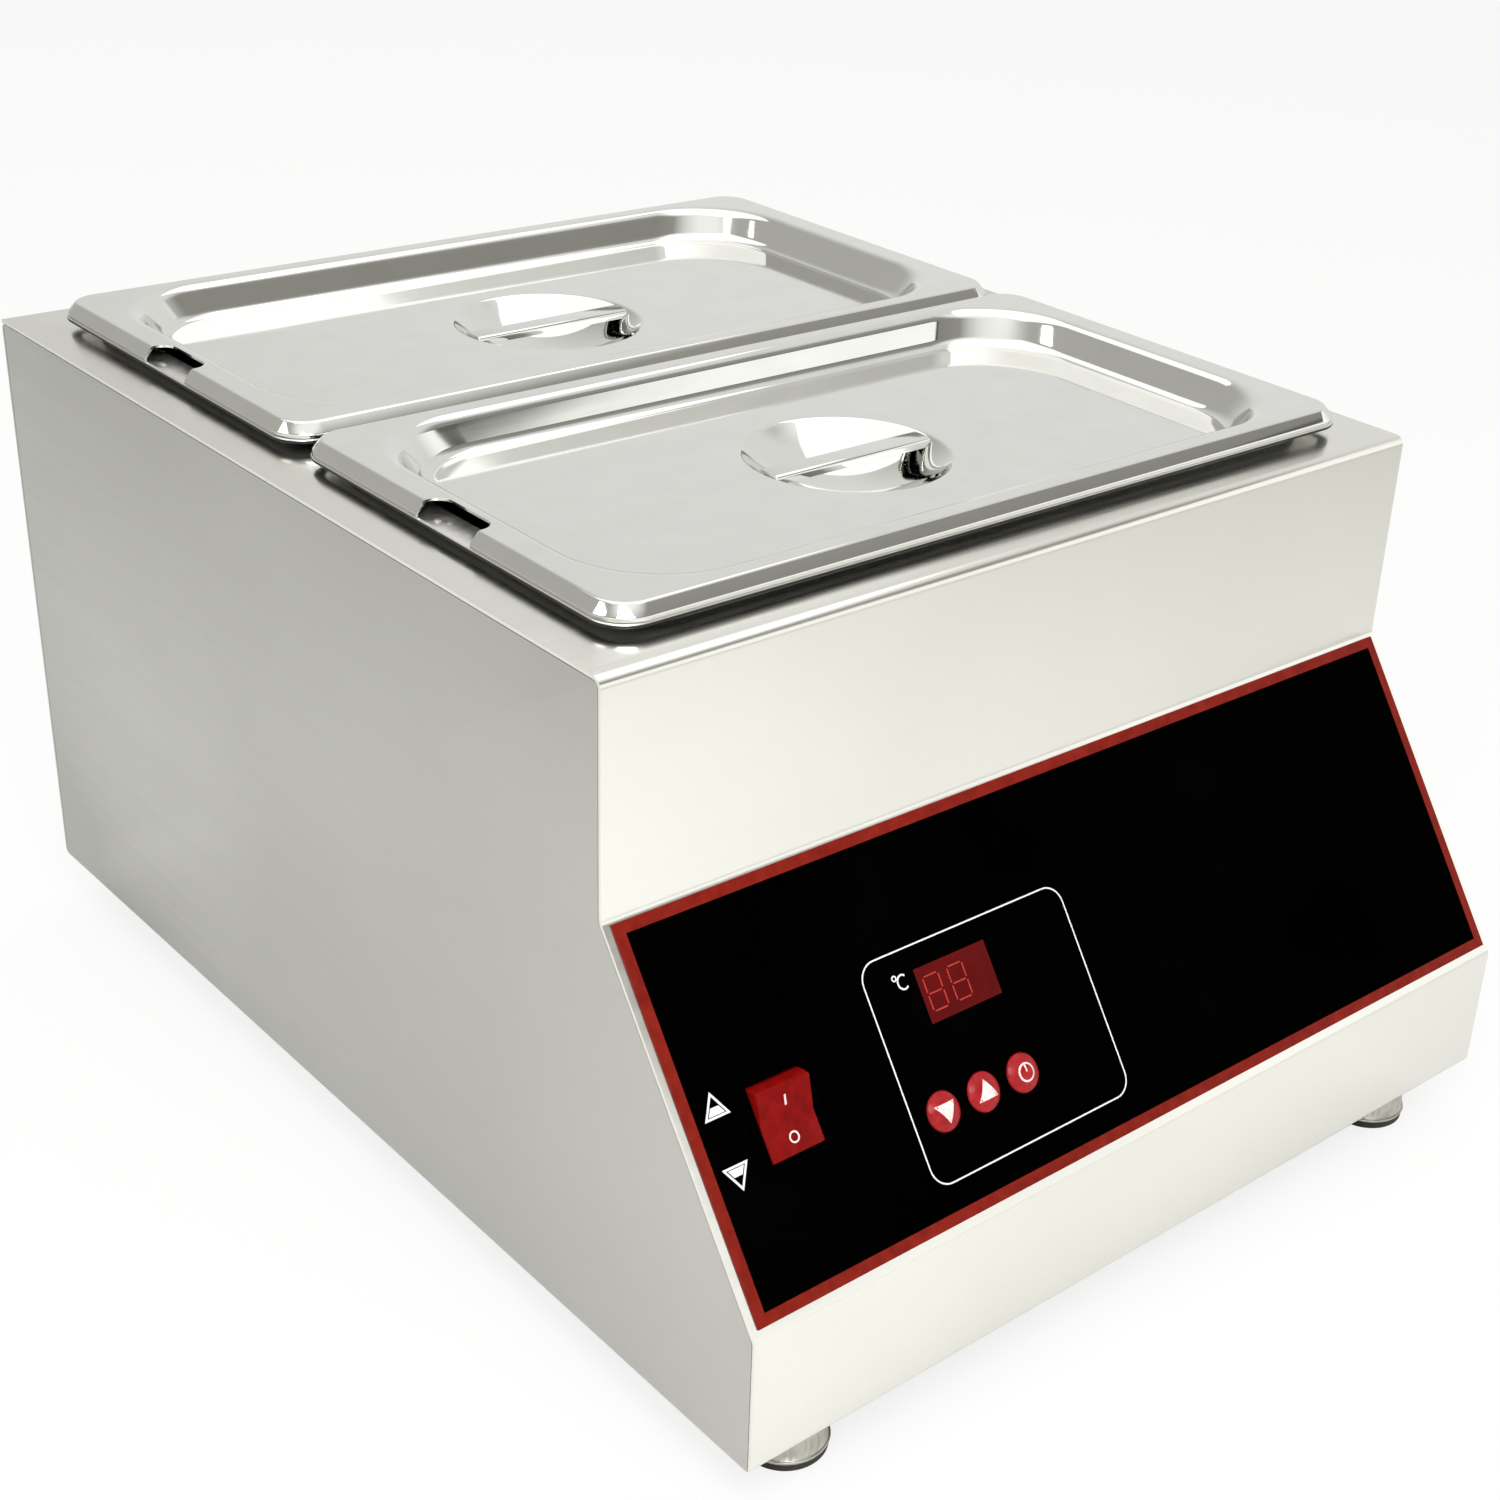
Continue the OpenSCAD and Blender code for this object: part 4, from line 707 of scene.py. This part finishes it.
on_bar = [(-ON_HALF_W, -ON_HALF_H), (ON_HALF_W, -ON_HALF_H), (ON_HALF_W, ON_HALF_H), (-ON_HALF_W, ON_HALF_H)]
mark_on = settle(flat_shape(on_bar), on_rocker(1, MARK_SHARE))
mark_off = settle(flat_outline(ring_points(0, 0, OFF_R), OFF_LINE), on_rocker(-1, MARK_SHARE))
rocker_marks = gather([mark_on, mark_off], "rocker_marks")
wear(rocker_marks, sign_white, "rocker")

# Feet: spun steel cups on black rubber pads, each held by a screw from below.
# The cup has a thin rolled rim; the pad is moulded, with a faint unevenness in tone.
foot_steel = plain_finish("foot_steel", (0.36, 0.35, 0.31), (0.52, 0.51, 0.46), 0.30, 0.42, 1.0, 150.0, 0.08)
foot_rubber = plain_finish("foot_rubber", (0.012, 0.012, 0.012), (0.026, 0.026, 0.025), 0.6, 0.8, rise=0.25)
for corner in ("front_left", "front_right", "rear_left", "rear_right"):
    cup = soft_copy("foot_cup_" + corner, "cup_" + corner)
    wear(cup, foot_steel, "base")
    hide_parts("foot_cup_" + corner)
    pad = soft_copy("foot_pad_" + corner, "pad_" + corner)
    wear(pad, foot_rubber, "base")
    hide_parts("foot_pad_" + corner)

# Mains lead entry: a black nylon gland low in the back, clamped to the sheet by a locknut.
# The rubber seal inside it grips the lead; the lead itself isn't part of the object.
gland_black = plain_finish(
    "gland_black", (0.014, 0.014, 0.014), (0.026, 0.026, 0.026), 0.4, 0.55, scale=220.0
)
GLAND_EDGE = 0.0003
for name in ("gland_body", "gland_dome_nut", "gland_locknut"):
    part = soft_copy(name, "nylon_" + name, bevel=GLAND_EDGE)
    wear(part, gland_black, "base")
    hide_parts(name)

# Pans: deep-drawn one-third pans, whose rolled rims rest on the upturned collars of the deck.
# Under the lids lies a near-black gap in shade. The roll and the collar are painted dark and dull there,
# as painted shade for that gap; the real finish there isn't known.
PAN_L = 0.325
PAN_W = 0.176
PAN_CORNER = 0.0135
LID_Y = {"front": -0.0628, "rear": 0.118}
# Colour and metalness of the painted shade in the gap under the lids.
GAP_SHADE = (0.006, 0.006, 0.006)
GAP_SHADE_METALLIC = 0.2
ANY_HEIGHT = 10
SIDE_FADE = 0.0003
HEIGHT_FADE = 0.0001
ROLL_MARGIN = 0.0030
ROLL_FOOT = 0.2500
ROLL_TOP = 0.2561
COLLAR_MARGIN = 0.0090
COLLAR_FOOT = 0.2521
COLLAR_TOP = 0.2600


def vector_step(tree, operation, source, other=(0, 0, 0)):
    """Adds a step of vector arithmetic."""
    made = node(tree, "VectorMath", operation=operation)
    made.inputs[1].default_value = other
    joined(tree, source, made.inputs[0])
    return made.outputs


def product(tree, first, second):
    """Multiplies two outputs."""
    made = node(tree, "Math", operation="MULTIPLY")
    joined(tree, first, made.inputs[0])
    joined(tree, second, made.inputs[1])
    return made.outputs[0]


def painted_gap_shade(tree, shader, middle_y, margin, low, high):
    """Paints shade for the gap under the lids: dark, dull metal from a margin inside the pan's outline
    outwards, between two heights.
    """
    way = node(tree, "TexCoord").outputs["Object"]
    centred = vector_step(tree, "SUBTRACT", way, (0, middle_y, 0))[0]
    mirrored = vector_step(tree, "ABSOLUTE", centred)[0]
    corner = (PAN_L / 2 - PAN_CORNER, PAN_W / 2 - PAN_CORNER, ANY_HEIGHT)
    past = vector_step(tree, "SUBTRACT", mirrored, corner)[0]
    kept = vector_step(tree, "MAXIMUM", past)[0]
    away = vector_step(tree, "LENGTH", kept)["Value"]
    split = node(tree, "SeparateXYZ")
    joined(tree, way, split.inputs["Vector"])
    edge = PAN_CORNER - margin
    outside = spread(tree, away, 0, 1, edge - SIDE_FADE, edge)
    raised = spread(tree, split.outputs["Z"], 0, 1, low - HEIGHT_FADE, low + HEIGHT_FADE)
    under = spread(tree, split.outputs["Z"], 1, 0, high - HEIGHT_FADE, high + HEIGHT_FADE)
    # Share of painted shade: outside the margin and between the two heights.
    dark = product(tree, product(tree, outside, raised), under)
    steel = shader.inputs["Base Color"].links[0].from_socket
    joined(tree, mixed(tree, dark, steel, GAP_SHADE), shader.inputs["Base Color"])
    joined(tree, spread(tree, dark, 1, GAP_SHADE_METALLIC, 0, 1), shader.inputs["Metallic"])


for place, middle_y in LID_Y.items():
    pan_steel = satin_steel(
        "pan_steel_" + place, (0.74, 0.73, 0.71), (0.84, 0.83, 0.81), 0.30, 0.40, (1, 1, 0.05), 9.0
    )
    tree = pan_steel.node_tree
    # Painted shade on the pan's rolled rim, for the gap under its lid.
    painted_gap_shade(tree, tree.nodes["Principled BSDF"], middle_y, ROLL_MARGIN, ROLL_FOOT, ROLL_TOP)
    pan = soft_copy("pan_" + place, "drawn_pan_" + place, angle=40)
    wear(pan, pan_steel, "pan_" + place)
    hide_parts("pan_" + place)
    # Painted shade on the deck's collar round this pan, for the same gap.
    tree = cover_steel.node_tree
    painted_gap_shade(tree, tree.nodes["Principled BSDF"], middle_y, COLLAR_MARGIN, COLLAR_FOOT, COLLAR_TOP)

# Lids: pressed from thin mirror-polished sheet, with a rolled lip, a flat border and a deep recess.
# A bowl is pressed in the middle for the fingers, and the left border is notched for a ladle.
LID_TOP = 0.2617
LID_T = 0.0008
LIP_H = 0.0049
LIP_FOOT_H = 0.0008
LIP_SLANT = math.radians(40)
LIP_LOWER_BEND = 0.0011
LIP_UPPER_BEND = 0.0016
LIP_INSET = 0.00385
LIP_STEPS = 5
BORDER_X = 0.0115
BORDER_Y = 0.008
EASE = 0.0004
BORDER_CORNER = 0.0370
RECESS_CORNER = 0.0365
RECESS_CORNER_GAIN = 0.001
FLOOR_CORNER = 0.0372
RECESS_DEPTH = 0.012
RECESS_BEND = 0.005
RECESS_LEAN = math.radians(25)
DISH_R = 0.03825
DISH_DEPTH = 0.014
DISH_RIM = 0.003
DISH_RIM_STEPS = 6
DISH_STEPS = 20
NOTCH_BOX = (0.020, 0.030, 0.012)
NOTCH_R = 0.0055
UPRIGHT_RISE = 0.001
TOUCHING = 0.000001


def rect_ring(half_x, half_y, corner, z, steps=20):
    """One ring of the pressed sheet: a rounded rectangle at a height."""
    ring = []
    for side_x, side_y, a in ((1, 1, 0), (-1, 1, 90), (-1, -1, 180), (1, -1, 270)):
        for i in range(steps + 1):
            t = math.radians(a + 90 * i / steps)
            x = side_x * (half_x - corner) + corner * math.cos(t)
            y = side_y * (half_y - corner) + corner * math.sin(t)
            ring.append((x, y, z))
    return ring


def round_ring(r, z, steps=20):
    """One ring of the bowl, with as many corners as a rounded rectangle has."""
    turns = [math.radians(a + 90 * i / steps) for a in (0, 90, 180, 270) for i in range(steps + 1)]
    return [(r * math.cos(t), r * math.sin(t), z) for t in turns]


def recess_profile(steps=7):
    """Run and drop of the recess wall: a bend, a leaning straight and a bend into the floor."""
    turn = math.pi / 2 - RECESS_LEAN
    rise = RECESS_DEPTH - 2 * RECESS_BEND * (1 - math.cos(turn))
    points = []
    for i in range(steps + 1):
        a = turn * i / steps
        points.append((RECESS_BEND * math.sin(a), -RECESS_BEND * (1 - math.cos(a))))
    run, drop = points[-1]
    run += rise * math.tan(RECESS_LEAN)
    drop -= rise
    for i in range(steps + 1):
        a = turn * (1 - i / steps)
        points.append((run + RECESS_BEND * (math.sin(turn) - math.sin(a)),
                       drop - RECESS_BEND * (math.cos(a) - math.cos(turn))))
    return points


def lid_rings():
    """The upper skin of a lid, ring by ring from the lip's foot to the middle of the bowl."""
    half_x = PAN_L / 2
    half_y = PAN_W / 2

    def inset_ring(inset, z):
        return rect_ring(half_x - inset, half_y - inset, PAN_CORNER - inset, z)

    rings = [inset_ring(0, -LIP_H)]
    lower = (LIP_LOWER_BEND, 0, LIP_SLANT, LIP_LOWER_BEND, -LIP_H + LIP_FOOT_H)
    upper = (LIP_UPPER_BEND, LIP_SLANT, math.pi / 2, LIP_INSET, -LIP_UPPER_BEND)
    for bend_r, from_a, to_a, at_in, at_z in (lower, upper):
        for i in range(LIP_STEPS + 1):
            a = from_a + (to_a - from_a) * i / LIP_STEPS
            rings.append(inset_ring(at_in - bend_r * math.cos(a), at_z + bend_r * math.sin(a)))
    rings.append(inset_ring(LIP_INSET + EASE, 0))
    recess_x = half_x - BORDER_X
    recess_y = half_y - BORDER_Y
    rings.append(rect_ring(recess_x + EASE, recess_y + EASE, BORDER_CORNER, 0))
    profile = recess_profile()
    total = profile[-1][0]
    for run, drop in profile:
        corner = RECESS_CORNER + RECESS_CORNER_GAIN * run / total
        rings.append(rect_ring(recess_x - run, recess_y - run, corner, drop))
    rings.append(rect_ring(recess_x - total - EASE, recess_y - total - EASE, FLOOR_CORNER, -RECESS_DEPTH))
    rings.append(round_ring(DISH_R + EASE, -RECESS_DEPTH))
    ball = (DISH_R ** 2 + DISH_DEPTH ** 2) / (2 * DISH_DEPTH) - DISH_RIM
    middle = ball - DISH_DEPTH
    lean = math.atan2(middle + DISH_RIM, DISH_R)
    for i in range(DISH_RIM_STEPS + 1):
        a = math.pi / 2 + (math.pi / 2 - lean) * i / DISH_RIM_STEPS
        z = -RECESS_DEPTH - DISH_RIM + DISH_RIM * math.sin(a)
        rings.append(round_ring(DISH_R + DISH_RIM * math.cos(a), z))
    for i in range(1, DISH_STEPS):
        a = lean + (math.pi / 2 - lean) * i / DISH_STEPS
        rings.append(round_ring(ball * math.cos(a), -RECESS_DEPTH + middle - ball * math.sin(a)))
    return rings, -RECESS_DEPTH - DISH_DEPTH


def pressed_lid(name):
    """Lofts the skin through its rings, thickens it and cuts the ladle notch."""
    rings, bottom = lid_rings()
    count = len(rings[0])
    mesh = bmesh.new()
    rows = [[mesh.verts.new(p) for p in ring] for ring in rings]
    for low, high in zip(rows, rows[1:]):
        for i in range(count):
            j = (i + 1) % count
            mesh.faces.new((low[i], low[j], high[j], high[i]))
    pole = mesh.verts.new((0, 0, bottom))
    for i in range(count):
        mesh.faces.new((rows[-1][i], rows[-1][(i + 1) % count], pole))
    bmesh.ops.remove_doubles(mesh, verts=mesh.verts, dist=TOUCHING)
    data = bpy.data.meshes.new(name)
    mesh.to_mesh(data)
    mesh.free()
    lid = bpy.data.objects.new(name, data)
    bpy.context.collection.objects.link(lid)
    pick(lid)
    sheet = lid.modifiers.new("sheet", "SOLIDIFY")
    sheet.thickness = LID_T
    sheet.offset = -1
    sheet.use_even_offset = True
    bpy.ops.object.modifier_apply(modifier=sheet.name)
    clear()
    bpy.ops.mesh.primitive_cube_add(size=1, location=(-PAN_L / 2, 0, 0))
    cutter = bpy.context.active_object
    cutter.scale = NOTCH_BOX
    bpy.ops.object.transform_apply(location=True, rotation=True, scale=True)
    corner = cutter.modifiers.new("corner", "BEVEL")
    corner.width = NOTCH_R
    corner.segments = 8
    corner.limit_method = "WEIGHT"
    weight = cutter.data.attributes.new("bevel_weight_edge", "FLOAT", "EDGE")
    for edge in cutter.data.edges:
        a, b = (cutter.data.vertices[i].co for i in edge.vertices)
        weight.data[edge.index].value = 1.0 if abs(a.z - b.z) > UPRIGHT_RISE else 0.0
    bpy.ops.object.modifier_apply(modifier=corner.name)
    pick(lid)
    notch = lid.modifiers.new("notch", "BOOLEAN")
    notch.operation = "DIFFERENCE"
    notch.solver = "EXACT"
    notch.object = cutter
    bpy.ops.object.modifier_apply(modifier=notch.name)
    bpy.data.objects.remove(cutter)
    bpy.ops.object.shade_smooth_by_angle(angle=math.radians(38))
    return lid


lid_steel, tree, shader = finish("lid_steel", (0.86, 0.855, 0.83), 1.0, 0.07)
fine = grain(tree, 60.0, detail=4.0)
two_tone(tree, shader, fine, (0.735, 0.735, 0.71), (0.77, 0.77, 0.745))
joined(tree, spread(tree, grain(tree, 260.0, (0.1, 1, 1), 3.0), 0.04, 0.08), shader.inputs["Roughness"])
relief(tree, shader, grain(tree, 14.0, detail=1.0), strength=0.02, depth=0.0006)
HANDLE_EDGE = 0.0002
for place, y in LID_Y.items():
    lid = pressed_lid("pressed_lid_" + place)
    settle(lid, Matrix.Translation((0, y, LID_TOP)))
    wear(lid, lid_steel, "lid_" + place)
    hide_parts("lid_" + place)
    bridge = soft_copy("lid_handle_" + place, "bridge_handle_" + place, bevel=HANDLE_EDGE)
    wear(bridge, lid_steel, "lid_" + place)
    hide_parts("lid_handle_" + place)

clear()
